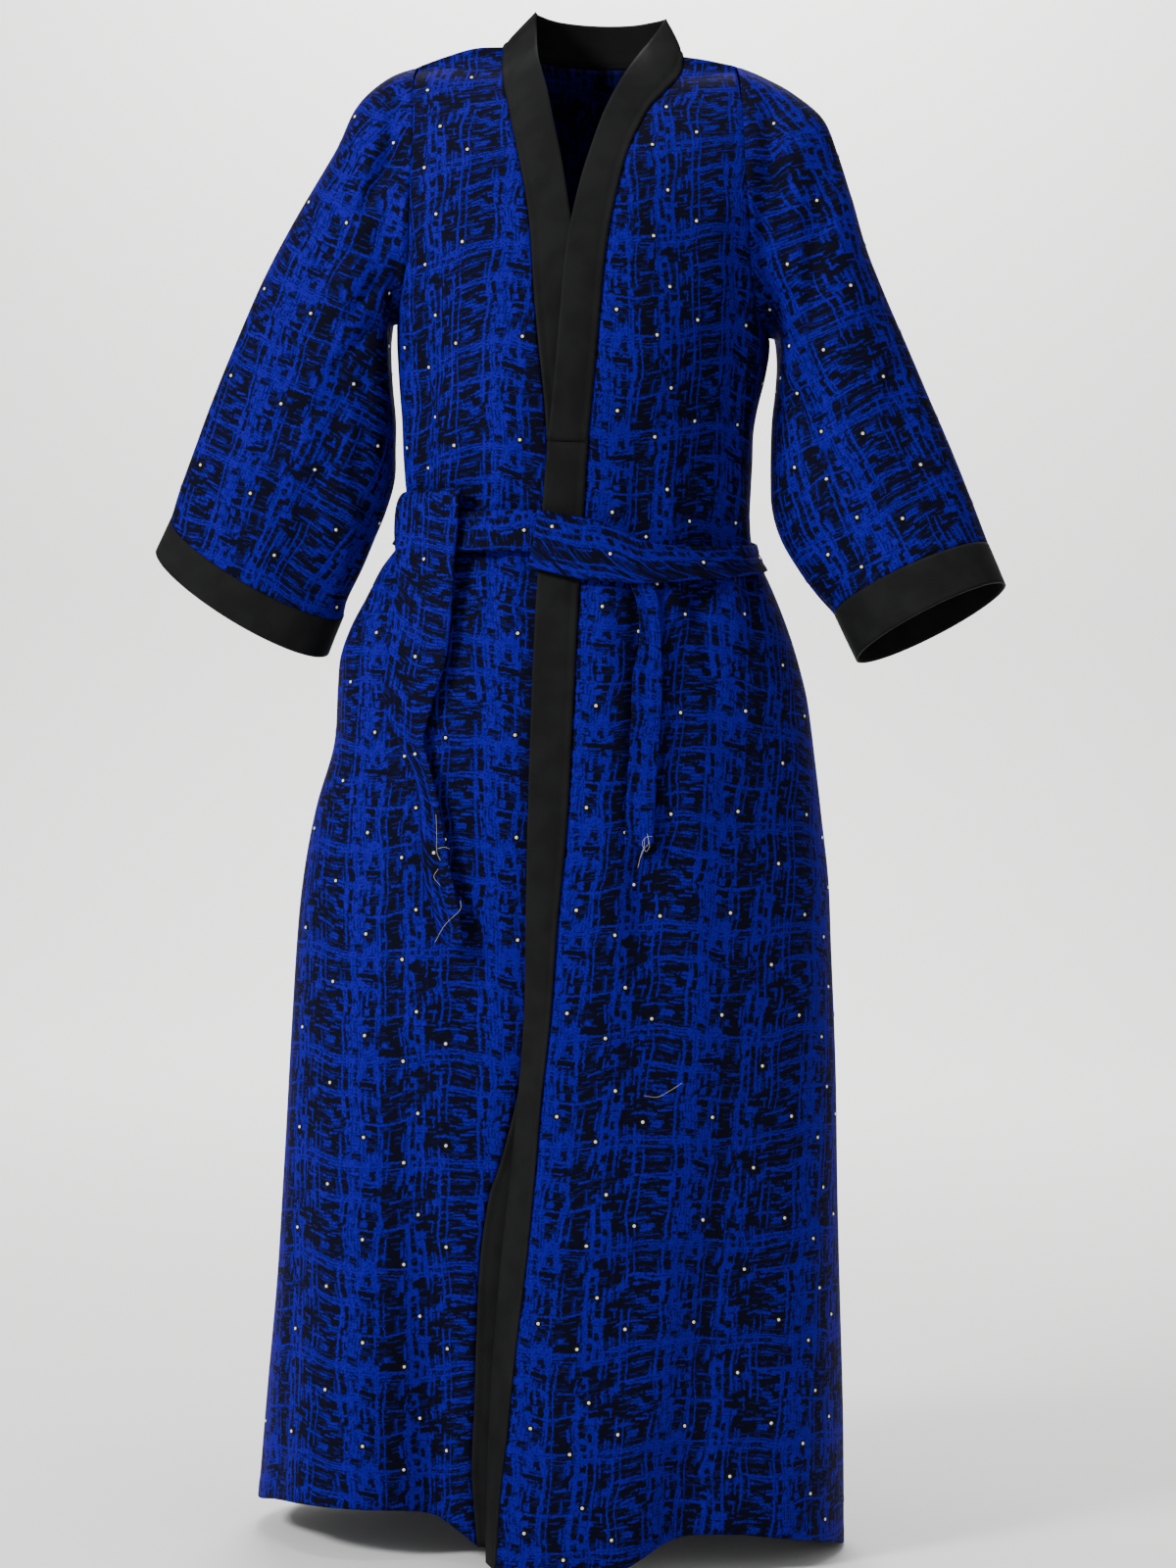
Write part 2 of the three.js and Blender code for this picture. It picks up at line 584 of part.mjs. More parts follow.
// Where sheets share a point at a seam, all of them take the same wall direction there.
function shareNormals(sheets) {
  const shared = new Map();
  const keyOf = (p) => [p.x, p.y, p.z].map((v) => Math.round(v * 50)).join(" ");
  const eachEdge = (sheet, act) => {
    const rows = sheet.grid.length;
    const columns = sheet.grid[0].length;
    for (let i = 0; i < rows; i += 1) {
      for (let j = 0; j < columns; j += 1) {
        const edge = i === 0 || i === rows - 1 || (!sheet.round && (j === 0 || j === columns - 1));
        if (edge) act(keyOf(sheet.grid[i][j]), i, j);
      }
    }
  };
  for (const sheet of sheets) {
    eachEdge(sheet, (key, i, j) => {
      const sum = shared.get(key) ?? new THREE.Vector3();
      shared.set(key, sum.add(sheet.normals[i][j]));
    });
  }
  for (const sheet of sheets) {
    eachEdge(sheet, (key, i, j) => {
      sheet.normals[i][j] = shared.get(key).clone().normalize();
    });
  }
}

// Edges are drawn in by half the seam gap, square to the plane in which two walls meet.
function drawIn(sheet) {
  const { grid, normals, round } = sheet;
  const rows = grid.length;
  const columns = grid[0].length;
  const old = grid.map((row) => row.map((p) => p.clone()));
  const draw = (i, j, inner, before, after) => {
    const point = old[i][j];
    const into = inner.clone().sub(point);
    const leave = after.clone().sub(point);
    const arrive = point.clone().sub(before);
    const corner = leave.angleTo(arrive) > cornerAngle && leave.length() > tiny && arrive.length() > tiny;
    const runs = corner ? [arrive, leave] : [after.clone().sub(before)];
    for (const run of runs) {
      const square = run.cross(normals[i][j]).normalize();
      grid[i][j].addScaledVector(square, Math.sign(square.dot(into)) * seamGap / 2);
    }
  };
  for (const [i, inside] of [[0, 1], [rows - 1, rows - 2]]) {
    for (let j = 0; j < columns; j += 1) {
      const next = round ? (j + 1) % columns : Math.min(columns - 1, j + 1);
      const last = round ? (j + columns - 1) % columns : Math.max(0, j - 1);
      draw(i, j, old[inside][j], old[i][last], old[i][next]);
    }
  }
  if (round) return;
  for (const [j, inside] of [[0, 1], [columns - 1, columns - 2]]) {
    for (let i = 0; i < rows; i += 1) {
      draw(i, j, old[i][inside], old[Math.max(0, i - 1)][j], old[Math.min(rows - 1, i + 1)][j]);
    }
  }
}

function wallMesh(sheet) {
  const { grid, normals, thick, round } = sheet;
  const rows = grid.length;
  const columns = grid[0].length;
  const positions = [];
  for (const side of [0.5, -0.5]) {
    grid.forEach((row, i) => row.forEach((point, j) => {
      const at = point.clone().addScaledVector(normals[i][j], thick * side);
      positions.push(at.x, at.y, at.z);
    }));
  }
  const far = rows * columns;
  const at = (i, j) => i * columns + (j % columns);
  const index = [];
  const quad = (a, b, c, d) => index.push(a, b, c, a, c, d);
  const across = round ? columns : columns - 1;
  for (let i = 0; i < rows - 1; i += 1) {
    for (let j = 0; j < across; j += 1) {
      const [a, b, c, d] = [at(i, j), at(i, j + 1), at(i + 1, j + 1), at(i + 1, j)];
      quad(a, b, c, d);
      quad(a + far, d + far, c + far, b + far);
    }
  }
  for (let j = 0; j < across; j += 1) {
    quad(at(0, j), at(0, j) + far, at(0, j + 1) + far, at(0, j + 1));
    const top = rows - 1;
    quad(at(top, j), at(top, j + 1), at(top, j + 1) + far, at(top, j) + far);
  }
  if (!round) {
    for (let i = 0; i < rows - 1; i += 1) {
      quad(at(i, 0), at(i + 1, 0), at(i + 1, 0) + far, at(i, 0) + far);
      const side = columns - 1;
      quad(at(i, side), at(i, side) + far, at(i + 1, side) + far, at(i + 1, side));
    }
  }
  let volume = 0;
  const corner = (k) => new THREE.Vector3(positions[k * 3], positions[k * 3 + 1], positions[k * 3 + 2]);
  for (let k = 0; k < index.length; k += 3) {
    volume += corner(index[k]).dot(corner(index[k + 1]).cross(corner(index[k + 2])));
  }
  if (volume < 0) index.reverse();
  const geometry = new THREE.BufferGeometry();
  geometry.setAttribute("position", new THREE.Float32BufferAttribute(positions, 3));
  geometry.setIndex(index);
  geometry.computeVertexNormals();
  const material = new THREE.MeshStandardMaterial({ color: sheet.colour, roughness: 0.85 });
  const mesh = new THREE.Mesh(geometry, material);
  mesh.name = sheet.name;
  return mesh;
}

const printColour = 0x0a2a8c;
const bandColour = 0x1c1d1f;

function build() {
  const frontRight = frontGrid("right");
  const frontLeft = frontGrid("left");
  const back = backGrid();
  // The seams are made of one set of points.
  back.forEach((row, i) => {
    row[0].copy(frontRight[i][frontColumns]);
    row[row.length - 1].copy(frontLeft[i][frontColumns]);
    if (i < levels.length - 1) return;
    const rise = i - levels.length + 1;
    if (rise > upperRows) return;
    row[0].set(armholeRight[rise][0], armholeRight[rise][2], armholeRight[rise][3]);
    row[row.length - 1].set(armholeLeft[rise][0], armholeLeft[rise][2], armholeLeft[rise][3]);
  });
  const sleeveRight = sleeveGrid(sleeveRightRings, armholeRight, sleeveRightFolds);
  const sleeveLeft = sleeveGrid(sleeveLeftRings, armholeLeft, sleeveLeftFolds);
  const cuffRight = cuffGrid(cuffRightRings, sleeveRight[sleeveRight.length - 1]);
  const cuffLeft = cuffGrid(cuffLeftRings, sleeveLeft[sleeveLeft.length - 1]);

  const seamLeft = frontLeft.map((row) => row[0].clone());
  const seamRight = frontRight.map((row) => row[0].clone());
  const freeLeft = seamLeft.map((p) => freeEdge("left", p));
  const freeRight = seamRight.map((p) => freeEdge("right", p));
  const last = seamLeft.length - 1;
  freeLeft[last].set(...neckBack[neckColumns].slice(3));
  freeRight[last].set(...neckBack[0].slice(3));
  const backSeam = [];
  const backFree = [];
  for (let c = neckColumns - 1; c > 0; c -= 1) {
    backSeam.push(back[back.length - 1][frontColumns + c].clone());
    backFree.push(new THREE.Vector3(...neckBack[c].slice(3)));
  }
  const neckSeam = [...seamLeft.slice(crossSeamRow), ...backSeam, ...seamRight.slice(crossSeamRow).reverse()];
  const neckFree = [...freeLeft.slice(crossSeamRow), ...backFree, ...freeRight.slice(crossSeamRow).reverse()];

  const lowerBand = (seam, free) => {
    return bandStrip(seam.slice(0, crossSeamRow + 1), free.slice(0, crossSeamRow + 1), bandSteps);
  };

  const sheets = [
    makeSheet("back", back, clothThick, printColour),
    makeSheet("front_right", frontRight, clothThick, printColour),
    makeSheet("front_left", frontLeft, clothThick, printColour),
    makeSheet("sleeve_right", sleeveRight, clothThick, printColour, true),
    makeSheet("sleeve_left", sleeveLeft, clothThick, printColour, true),
    makeSheet("cuff_right", cuffRight, bandThick, bandColour, true),
    makeSheet("cuff_left", cuffLeft, bandThick, bandColour, true),
    makeSheet("band_neck", bandStrip(neckSeam, neckFree, bandSteps), bandThick, bandColour),
    makeSheet("band_lower_left", lowerBand(seamLeft, freeLeft), bandThick, bandColour),
    makeSheet("band_lower_right", lowerBand(seamRight, freeRight), bandThick, bandColour),
    makeSheet("belt", beltGrid(), beltThick, printColour),
    makeSheet("belt_tail_right", tailGrid(tailRightTable, 3), beltThick, printColour),
    makeSheet("belt_tail_left", tailGrid(tailLeftTable, 2), beltThick, printColour),
  ];
  sheets.forEach(findNormals);
  shareNormals(sheets);
  sheets.forEach(drawIn);
  const group = new THREE.Group();
  group.name = "kimono_robe";
  sheets.forEach((sheet) => group.add(wallMesh(sheet)));
  return group;
}

export default build();
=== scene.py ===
import math
import random

import bpy
import numpy as np
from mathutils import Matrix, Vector


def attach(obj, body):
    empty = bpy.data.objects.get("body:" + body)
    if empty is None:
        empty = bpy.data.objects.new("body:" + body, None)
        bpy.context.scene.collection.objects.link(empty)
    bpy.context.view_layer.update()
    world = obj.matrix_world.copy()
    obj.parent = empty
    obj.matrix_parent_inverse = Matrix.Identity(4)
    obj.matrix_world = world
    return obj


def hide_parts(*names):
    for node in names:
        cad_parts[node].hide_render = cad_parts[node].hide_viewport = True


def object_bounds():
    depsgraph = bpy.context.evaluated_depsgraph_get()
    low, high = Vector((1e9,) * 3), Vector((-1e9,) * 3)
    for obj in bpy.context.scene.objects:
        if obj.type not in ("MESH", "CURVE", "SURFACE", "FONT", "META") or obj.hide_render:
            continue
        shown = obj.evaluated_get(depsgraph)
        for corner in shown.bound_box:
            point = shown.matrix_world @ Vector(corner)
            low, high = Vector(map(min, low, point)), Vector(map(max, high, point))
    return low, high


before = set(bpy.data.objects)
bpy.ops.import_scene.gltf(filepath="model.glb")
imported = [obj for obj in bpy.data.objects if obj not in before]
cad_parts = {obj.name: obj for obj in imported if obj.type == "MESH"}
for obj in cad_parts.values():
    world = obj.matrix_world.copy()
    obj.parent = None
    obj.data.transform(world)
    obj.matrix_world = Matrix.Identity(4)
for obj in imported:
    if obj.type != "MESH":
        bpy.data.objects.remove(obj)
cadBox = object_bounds()
mm = 0.001
print("frame loaded")

# Sizes of the robe's form, in millimetres. Outlines, levels and large folds are those of the solids.
robe = {
    "clothThick": 1.1,
    "bandThick": 1.8,
    "beltThick": 1.7,
    "layerStep": 2.7,          # half the distance between the two lapped fronts
    "armpitLevel": -252,
    "hemLevel": -1306,
    "hemFade": 251,            # height over which the hem's own curve dies out
    "rowStep": 5.0,            # spacing of the rows of cloth points
    "frontColumns": 74,
    "neckColumns": 36,
    "upperRows": 56,
    "sleeveRows": 112,
    "sleeveColumns": 132,
    "cuffRows": 14,
    "stripColumns": 14,        # points across the bands and the belt
    "middle": -7,
    "shoulderRound": 0.5,      # how quickly the back rounds into the shoulders, and into the neck
    "neckRound": 0.85,
    "sideFade": 24,            # folds die out this near to the side seams
    "foldEnd": 0.35,           # how quickly a fold ends beyond its two ends, against its flanks
    "frontRound": 0.85,        # how much of the chest's roundness is gone at the shoulder
    "slopeEase": 0.6,          # how softly the rows slope from the neck to the armhole
    "shoulderFrom": 0.75,      # share of the rise at which rows start to follow the shoulder seam
    "foldsTo": 0.8,            # folds die out from here up to the shoulder seam, and so behind
    "backFoldsTo": 0.85,
    "blendRings": 5,           # rings over which the armhole's edge turns into the sleeve's round
    "sleeveFolds": (0.06, 0.93),    # shares of the sleeve between which its folds are full
    "creaseScale": 1.5,        # how much deeper the small creases are than their tables say
}

# Body sections: height, right edge, left edge, depth in front, depth behind.
bodyTable = np.array([
    [-60, -166, 128, -72, 84], [-160, -168, 138, -106, 98], [-252, -173, 159.5, -121, 102],
    [-283, -170.5, 157, -125, 101], [-310, -168, 151, -125, 99], [-335, -165.2, 147.5, -122, 96],
    [-361, -163.5, 147.5, -117, 92], [-387, -161, 147, -112, 89], [-414, -158, 147, -108, 88],
    [-440, -161.5, 151, -108, 91], [-467, -179, 165, -113, 99], [-493, -191, 177, -119, 109],
    [-520, -204, 188, -124, 118], [-547, -212.5, 197, -127, 125], [-573, -214, 204, -129, 130],
    [-625, -215.5, 212.5, -131, 134], [-679, -229, 220.5, -133, 136], [-731, -237.5, 228, -136, 137],
    [-784, -242, 232, -139, 139], [-889, -245, 239.5, -144, 143], [-995, -246.5, 245, -149, 148],
    [-1100, -249.5, 251.5, -154, 153], [-1205, -255, 258, -160, 158], [-1320, -260, 262.5, -166, 163],
], float)

# Hem height by place across, in front and behind.
hemFront = np.array([
    [-260, -1295], [-240, -1285], [-198, -1278], [-134, -1277], [-98, -1283], [-73, -1295], [-48, -1311],
    [0, -1319], [50, -1313], [75, -1302], [101, -1291], [128, -1285], [162, -1286], [208, -1294],
    [246, -1306], [263, -1319],
], float)
hemBack = np.array([[-260, -1295], [-150, -1308], [0, -1314], [150, -1316], [263, -1319]], float)

# Armhole edges from the armpit up to the shoulder tip: x, front y, back y, z.
armholes = {
    "right": np.array([
        [-173, 0, 0, -249], [-170, -22, 24, -238], [-166, -42, 46, -221], [-162.5, -56, 61, -200],
        [-161.5, -64, 70, -178], [-162, -67, 74, -155], [-162, -66, 73, -132], [-161.5, -61, 68, -110],
        [-162, -53, 60, -88], [-163.5, -43, 48, -67], [-165, -31, 34, -47], [-165, -16, 17, -29],
        [-164, 1, 1, -19],
    ], float),
    "left": np.array([
        [159.5, 0, 0, -250], [152, -22, 24, -242], [144, -42, 46, -228], [139.5, -56, 61, -209],
        [136, -64, 70, -185], [134, -67, 74, -160], [132, -66, 73, -135], [130, -61, 68, -110],
        [128.5, -54, 59, -86], [127, -44, 47, -62], [125.5, -31, 33, -40], [124, -16, 16, -20],
        [122, 1, 1, -8],
    ], float),
}

# Shoulder seams from the neck point to the tip: x, y, z.
shoulders = {
    "right": np.array([[-87, -4, 1], [-112, -3, -1], [-138, -1, -9], [-164, 1, -19]], float),
    "left": np.array([[73, -4, -2], [92, -3, -4], [107, -1, -6], [122, 1, -8]], float),
}

# Neck edges down both fronts: height, seam x, free edge x, free edge lift, seam depth.
necks = {
    "left": np.array([
        [-2, 73, 56.5, 34, -4], [-27, 59, 36, 24, -30], [-57, 45.6, 17, 17, -56], [-83, 34.2, 4.5, 13, -74],
        [-108, 25.6, -4.5, 8, -88], [-136, 19.5, -12.5, 5, -99], [-161, 15, -18, 2, -107],
        [-185, 11.6, -22, 0, -113], [-210, 9.2, -24.5, 0, -118], [-241, 7.6, -26, 0, -122],
        [-284, 5.6, -28, 0, -125], [-320, 3.4, -30, 0, -123], [-360, 1, -33, 0, -117],
        [-424, -0.6, -36, 0, -108], [-510, -2.5, -38.5, 0, -122], [-590, -3.6, -39, 0, -130],
        [-690, -5.4, -38.5, 0, -133], [-775, -10.5, -37, 0, -138], [-845, -12.8, -35.5, 0, -142],
        [-915, -18, -38, 0, -145], [-985, -21.5, -42, 0, -148], [-1055, -26, -47.5, 0, -152],
        [-1125, -32, -51, 0, -155], [-1190, -36.5, -52.5, 0, -159], [-1250, -41, -52.5, 0, -162],
        [-1320, -42.5, -51, 0, -166],
    ], float),
    "right": np.array([
        [-2, -87, -59, 35, -4], [-34, -84, -55, 22, -36], [-62, -79, -45.5, 14, -60], [-90, -73, -38, 9, -78],
        [-120, -66, -30, 4, -93], [-150, -59.5, -23.5, 0, -103], [-188, -53.6, -17, 0, -114],
        [-222, -51, -14, 0, -120], [-254, -47.6, -10.5, 0, -124], [-285, -43.6, -6, 0, -125],
        [-320, -38, -2, 0, -123], [-360, -34, 2, 0, -117], [-424, -30, 6, 0, -108], [-510, -29, 8, 0, -122],
        [-690, -28, 9, 0, -133], [-820, -29, 8, 0, -140], [-890, -35, 1, 0, -144], [-930, -41, -5, 0, -146],
        [-981, -52.5, -16, 0, -148], [-1006, -60, -23, 0, -150], [-1068, -66, -28, 0, -152],
        [-1190, -66.5, -28, 0, -159], [-1250, -66.5, -29, 0, -162], [-1320, -58, -26, 0, -166],
    ], float),
}
# Low on the skirt the free edge of the upper band turns out and the under front sinks back, by height.
lapLevels = np.array([-1320, -1190, -1055, -915, -775, -600, -420], float)
overTurn = np.column_stack([lapLevels, [24, 22, 18, 10, 4, 0, 0]])
underSink = np.column_stack([lapLevels, [34, 31, 26, 16, 8, 0, 0]])
# Where the two fronts lie apart: middle and half width of the lap, and over what run it dies out.
lap = {"middle": -20, "half": 50, "fade": 60, "topLevel": -60, "topFade": 90, "sinkFrom": -190, "sinkTo": -80}

# Neck edge behind: seam x, y, z and free edge x, y, z.
neckBack = np.array([
    [-87, -4, 1, -59, 4, 35], [-77, 25, 1, -56, 26, 38], [-48, 50, 0, -38, 46, 38],
    [-7, 60, -1, -7, 55, 38], [33, 50, -1, 25, 46, 37], [60, 26, 0, 47, 26, 36], [73, -4, -2, 56.5, 4, 33],
], float)
# The chest: middle x and z of each side, half width, half height, how far it stands out.
chestShape = [(-72, -292, 46, 52, 11), (60, -292, 46, 52, 11)]

# Folds of the body by side: x and z of both ends, bow sideways, half width, depth at both ends.
bodyFolds = {
    "front": [
        (-141, -285, -151, -400, 0, 13, -6, -8), (136, -150, 128, -425, 0, 16, -5, -7),
        (112, -420, 96, -545, 0, 9, -5, 0), (140, -425, 150, -560, 0, 11, -6, 0),
        (49, -470, 62, -760, 0, 15, -6, -4), (62, -760, 74, -1010, 0, 24, -4, 0),
        (-96, -450, -108, -640, 0, 12, -5, 0), (-140, -450, -172, -620, 0, 12, -6, 0),
        (-150, -800, -98, -1330, 0, 30, -2, -15), (158, -860, 112, -1330, 0, 32, -3, -14),
        (-200, -820, -214, -1330, 0, 30, 0, 5), (30, -900, 22, -1330, 0, 40, 0, 5),
        (214, -900, 216, -1330, 0, 28, 0, 5),
    ],
    "back": [
        (-92, -170, -70, -420, 0, 26, -3, -8), (76, -170, 56, -420, 0, 26, -3, -8),
        (-7, -300, -7, -440, 0, 16, -2, -6), (-110, -430, -128, -700, 0, 16, -7, 0),
        (98, -430, 116, -700, 0, 16, -7, 0), (-20, -450, -34, -900, 0, 22, -5, -3),
        (-150, -700, -168, -1330, 0, 34, -2, -16), (-62, -760, -70, -1330, 0, 32, -2, -15),
        (34, -720, 46, -1330, 0, 34, -2, -17), (132, -760, 150, -1330, 0, 34, -2, -15),
    ],
}
# Finer creases that only the cloth here has.
bodyCreases = {
    "front": [
        # from the right armhole
        (-150, -215, -118, -262, -6, 7, -2.4, 0), (-152, -190, -108, -214, -4, 8, -2.0, 0),
        # from the left armhole
        (128, -205, 98, -262, 6, 8, -2.6, 0), (124, -170, 92, -196, 4, 8, -2.0, 0),
        (-128, -330, -120, -402, 3, 7, 1.8, 2.2), (-96, -345, -92, -404, -3, 8, -1.5, -2.4),
        (-66, -352, -70, -402, 2, 9, 1.0, 1.8), (40, -350, 44, -420, 3, 10, -1.0, -2.2),
        (78, -345, 74, -430, -3, 8, 1.2, 2.0), (104, -330, 100, -430, 4, 7, -1.8, -2.6),
        # below the belt
        (-76, -468, -84, -560, 3, 8, -2.6, 0), (-58, -466, -60, -600, -3, 9, 1.8, 0),
        (-118, -462, -134, -560, 3, 8, 2.2, 0), (20, -486, 22, -600, 3, 9, 1.6, 0),
        (78, -482, 84, -640, -4, 9, 2.6, 0), (126, -466, 138, -560, 3, 7, 3.4, 0),
        (96, -484, 118, -610, 6, 7, -4.2, 0), (-196, -560, -150, -700, 10, 14, -2.2, 0),
        (20, -640, 34, -1000, 12, 22, 1.6, 0.6), (110, -640, 128, -980, -10, 20, 2.2, 0),
        (-60, -640, -72, -1100, 8, 26, 1.6, 0), (-118, -820, -84, -1290, 12, 22, 1.2, 3.4),
        (88, -900, 66, -1300, 10, 22, 1.0, 3.4), (190, -940, 172, -1300, -8, 20, -1.2, -3.4),
        (-228, -900, -236, -1290, 6, 18, -1.0, -2.6),
        # soft wave across the left front
        (20, -1036, 200, -1052, 10, 12, 1.8, 1.2), (30, -1058, 190, -1072, 8, 12, -1.6, -1.0),
        (-190, -1080, -90, -1092, -8, 12, 1.2, 0.8), (60, -1190, 170, -1178, -8, 14, 1.0, 1.0),
    ],
    "back": [
        (-60, -120, -120, -180, 8, 14, -2.2, 0), (50, -120, 104, -180, -8, 14, -2.2, 0),
        (-120, -300, -96, -404, 6, 9, -2.2, -3), (104, -300, 84, -404, -6, 9, -2.2, -3),
        (-52, -330, -48, -404, 3, 9, 1.4, 2.4), (36, -330, 34, -404, -3, 9, 1.4, 2.4),
        (-136, -460, -160, -620, 5, 9, -2.6, 0), (-84, -462, -92, -640, -4, 10, 2.4, 0),
        (-54, -462, -58, -700, 4, 10, -2.6, 0), (18, -462, 22, -660, 4, 10, 2.2, 0),
        (62, -462, 70, -700, -4, 10, -2.8, 0), (128, -462, 150, -620, 5, 9, -2.4, 0),
        (-110, -900, -116, -1300, 8, 20, 1.4, 4.5), (-12, -900, -8, -1300, -8, 20, 1.4, 4.5),
        (92, -900, 100, -1300, 8, 20, 1.4, 4.5), (196, -900, 204, -1300, -6, 20, 1.0, 3.0),
        (-214, -900, -220, -1300, 6, 20, 1.0, 3.0),
    ],
}

# Sleeve rings from the armhole to the cuff: outer x, z, inner x, z, middle y, front and back depth, tilt.
sleeves = {
    "right": {
        "rings": np.array([
            [-164, -19, -173, -249, 0, 66, 72, 0], [-190, -31, -180, -252, 1, 66, 71, 0],
            [-215, -54.5, -181, -264, 2, 65, 69, -2], [-231.4, -91, -179.5, -282.5, 4, 63, 66, -4],
            [-250.7, -126.6, -176, -308, 7, 60, 63, -7], [-271, -164, -172.5, -334, 10, 57, 59, -10],
            [-292.6, -205.6, -172, -359.4, 14, 54, 55, -13], [-308, -240, -172, -386, 18, 50, 52, -16],
            [-324.8, -281.8, -178.5, -412, 23, 47, 48, -18], [-340.6, -324.5, -189, -438.7, 28, 44, 45, -20],
            [-354.6, -364, -199.6, -464.6, 34, 42, 42, -22], [-367.6, -400, -212.2, -491.5, 40, 40, 40, -24],
            [-375.2, -426, -216, -507.6, 44, 42, 40, -29],
        ], float),
        "cuff": np.array([
            [-375.2, -426, -216, -507.6, 44, 42, 40, -29], [-381.7, -440, -222.5, -524, 47, 43, 40, -30],
            [-388.3, -454.3, -228.8, -541, 50, 44, 40, -31],
        ], float),
        "folds": {
            "front": [
                (-176, -110, -196, -262, 0, 15, -9, -4), (-212, -320, -262, -478, 0, 14, -5, -3),
                (-262, -205, -312, -372, 0, 18, 3, 3),
            ],
            "back": [
                (-190, -120, -214, -300, 0, 18, -8, -4), (-250, -260, -300, -430, 0, 18, -6, -3),
            ],
        },
        "creases": {
            "front": [
                (-178, -60, -200, -150, 6, 9, -3.4, -4.6), (-190, -228, -246, -262, -8, 9, -3.0, 0),
                (-186, -262, -232, -316, -6, 9, -3.0, -1), (-206, -190, -262, -212, -6, 10, -2.0, 0),
                (-236, -150, -284, -262, 8, 12, 2.0, 0), (-240, -330, -300, -350, -6, 9, -1.8, 0),
                (-232, -372, -322, -402, 8, 10, 1.8, 0), (-300, -300, -340, -420, 6, 10, -2.4, -1.6),
                (-206, -400, -228, -500, 4, 8, 2.2, 1.4), (-196, -300, -206, -400, 4, 8, -2.2, -2.6),
            ],
            "back": [
                (-196, -230, -256, -268, -8, 10, -3.0, 0), (-190, -270, -236, -330, -6, 9, -3.0, 0),
                (-230, -170, -286, -280, 8, 12, 2.4, 0), (-240, -350, -310, -372, -6, 10, -2.2, 0),
                (-220, -400, -250, -500, 4, 9, 2.4, 1.4),
            ],
        },
    },
    "left": {
        "rings": np.array([
            [122, -8, 159.5, -250, 0, 66, 72, 0], [147, -17.6, 170, -252, 0, 66, 71, 0],
            [173.4, -31.2, 173.5, -261, -2, 65, 69, 1], [199.5, -53.4, 171, -278, -6, 64, 67, 2],
            [214.2, -87.2, 167, -298, -10, 63, 65, 3], [226.7, -127, 164, -323, -15, 61, 63, 4],
            [241, -171.7, 163.5, -350, -20, 60, 61, 6], [261, -219.6, 163.8, -379, -27, 58, 59, 8],
            [280.3, -263, 165.8, -405.3, -34, 57, 57, 9], [299, -306.7, 174.1, -431.6, -42, 57, 57, 10],
            [317.8, -350, 189.8, -457.8, -50, 57, 57, 11], [333.4, -389, 206.3, -480, -58, 58, 58, 12],
            [351.8, -435.7, 221.2, -496, -66, 59, 59, 13],
        ], float),
        "cuff": np.array([
            [351.8, -435.7, 221.2, -496, -66, 59, 59, 13], [359, -453, 231, -516, -71, 60, 60, 13],
            [366, -470.5, 240.8, -535.5, -76, 61, 61, 13],
        ], float),
        "folds": {
            "front": [
                (146, -120, 150, -262, 0, 12, -8, -5), (198, -95, 186, -330, 0, 15, -8, -7),
                (186, -330, 232, -450, 0, 15, -7, -3),
            ],
            "back": [
                (172, -120, 192, -300, 0, 18, -8, -4), (236, -260, 282, -430, 0, 18, -6, -3),
            ],
        },
        "creases": {
            "front": [
                (150, -60, 172, -170, -6, 9, -3.6, -4.6), (176, -226, 222, -262, 8, 9, -3.0, 0),
                (176, -266, 212, -330, 6, 9, -3.0, 0), (172, -150, 176, -300, 5, 8, 2.6, 2.0),
                (222, -140, 252, -290, -8, 13, 2.4, 1.0), (214, -330, 282, -352, 6, 10, -2.0, 0),
                (262, -300, 316, -430, -6, 12, -2.6, -2.0), (206, -400, 250, -478, 4, 9, 2.6, 1.4),
            ],
            "back": [
                (186, -226, 240, -270, 8, 10, -3.0, 0), (186, -280, 226, -340, 6, 9, -3.0, 0),
                (222, -170, 262, -290, -8, 12, 2.4, 0), (232, -350, 300, -372, 6, 10, -2.2, 0),
            ],
        },
    },
}


def blend(a, b, t):
    return a + (b - a) * t


def smooth(v):
    t = np.clip(v, 0, 1)
    return t * t * (3 - 2 * t)


def ramp(v, start, end):
    # 0 before start, 1 after end, smooth between
    return smooth((v - start) / (end - start))


def bump(v, place, width):
    return np.exp(-((v - place) / width) ** 2)


def lookUp(table, keys, column):
    # smooth curve through the rows of a table, for any array of keys
    keys = np.asarray(keys, float)
    rows = table if table[-1][0] > table[0][0] else table[::-1]
    knots, values = rows[:, 0], rows[:, column]
    k = np.clip(np.searchsorted(knots, keys, side="left") - 1, 0, len(knots) - 2)
    before = np.maximum(k - 1, 0)
    after = np.minimum(k + 2, len(knots) - 1)
    span = knots[k + 1] - knots[k]
    t = np.clip((keys - knots[k]) / span, 0, 1)
    slopeLow = (values[k + 1] - values[before]) / (knots[k + 1] - knots[before]) * span
    slopeHigh = (values[after] - values[k]) / (knots[after] - knots[k]) * span
    t2, t3 = t * t, t * t * t
    return ((2 * t3 - 3 * t2 + 1) * values[k] + (t3 - 2 * t2 + t) * slopeLow
            + (3 * t2 - 2 * t3) * values[k + 1] + (t3 - t2) * slopeHigh)


def alongRows(rows, share, column):
    keyed = np.column_stack([np.linspace(0, 1, len(rows)), rows[:, column]])
    return lookUp(keyed, share, 1)


def section(z):
    right, left, front, back = (lookUp(bodyTable, z, c) for c in (1, 2, 3, 4))
    return {"right": right, "left": left, "front": front, "back": back,
            "middle": (right + left) / 2, "half": (left - right) / 2}


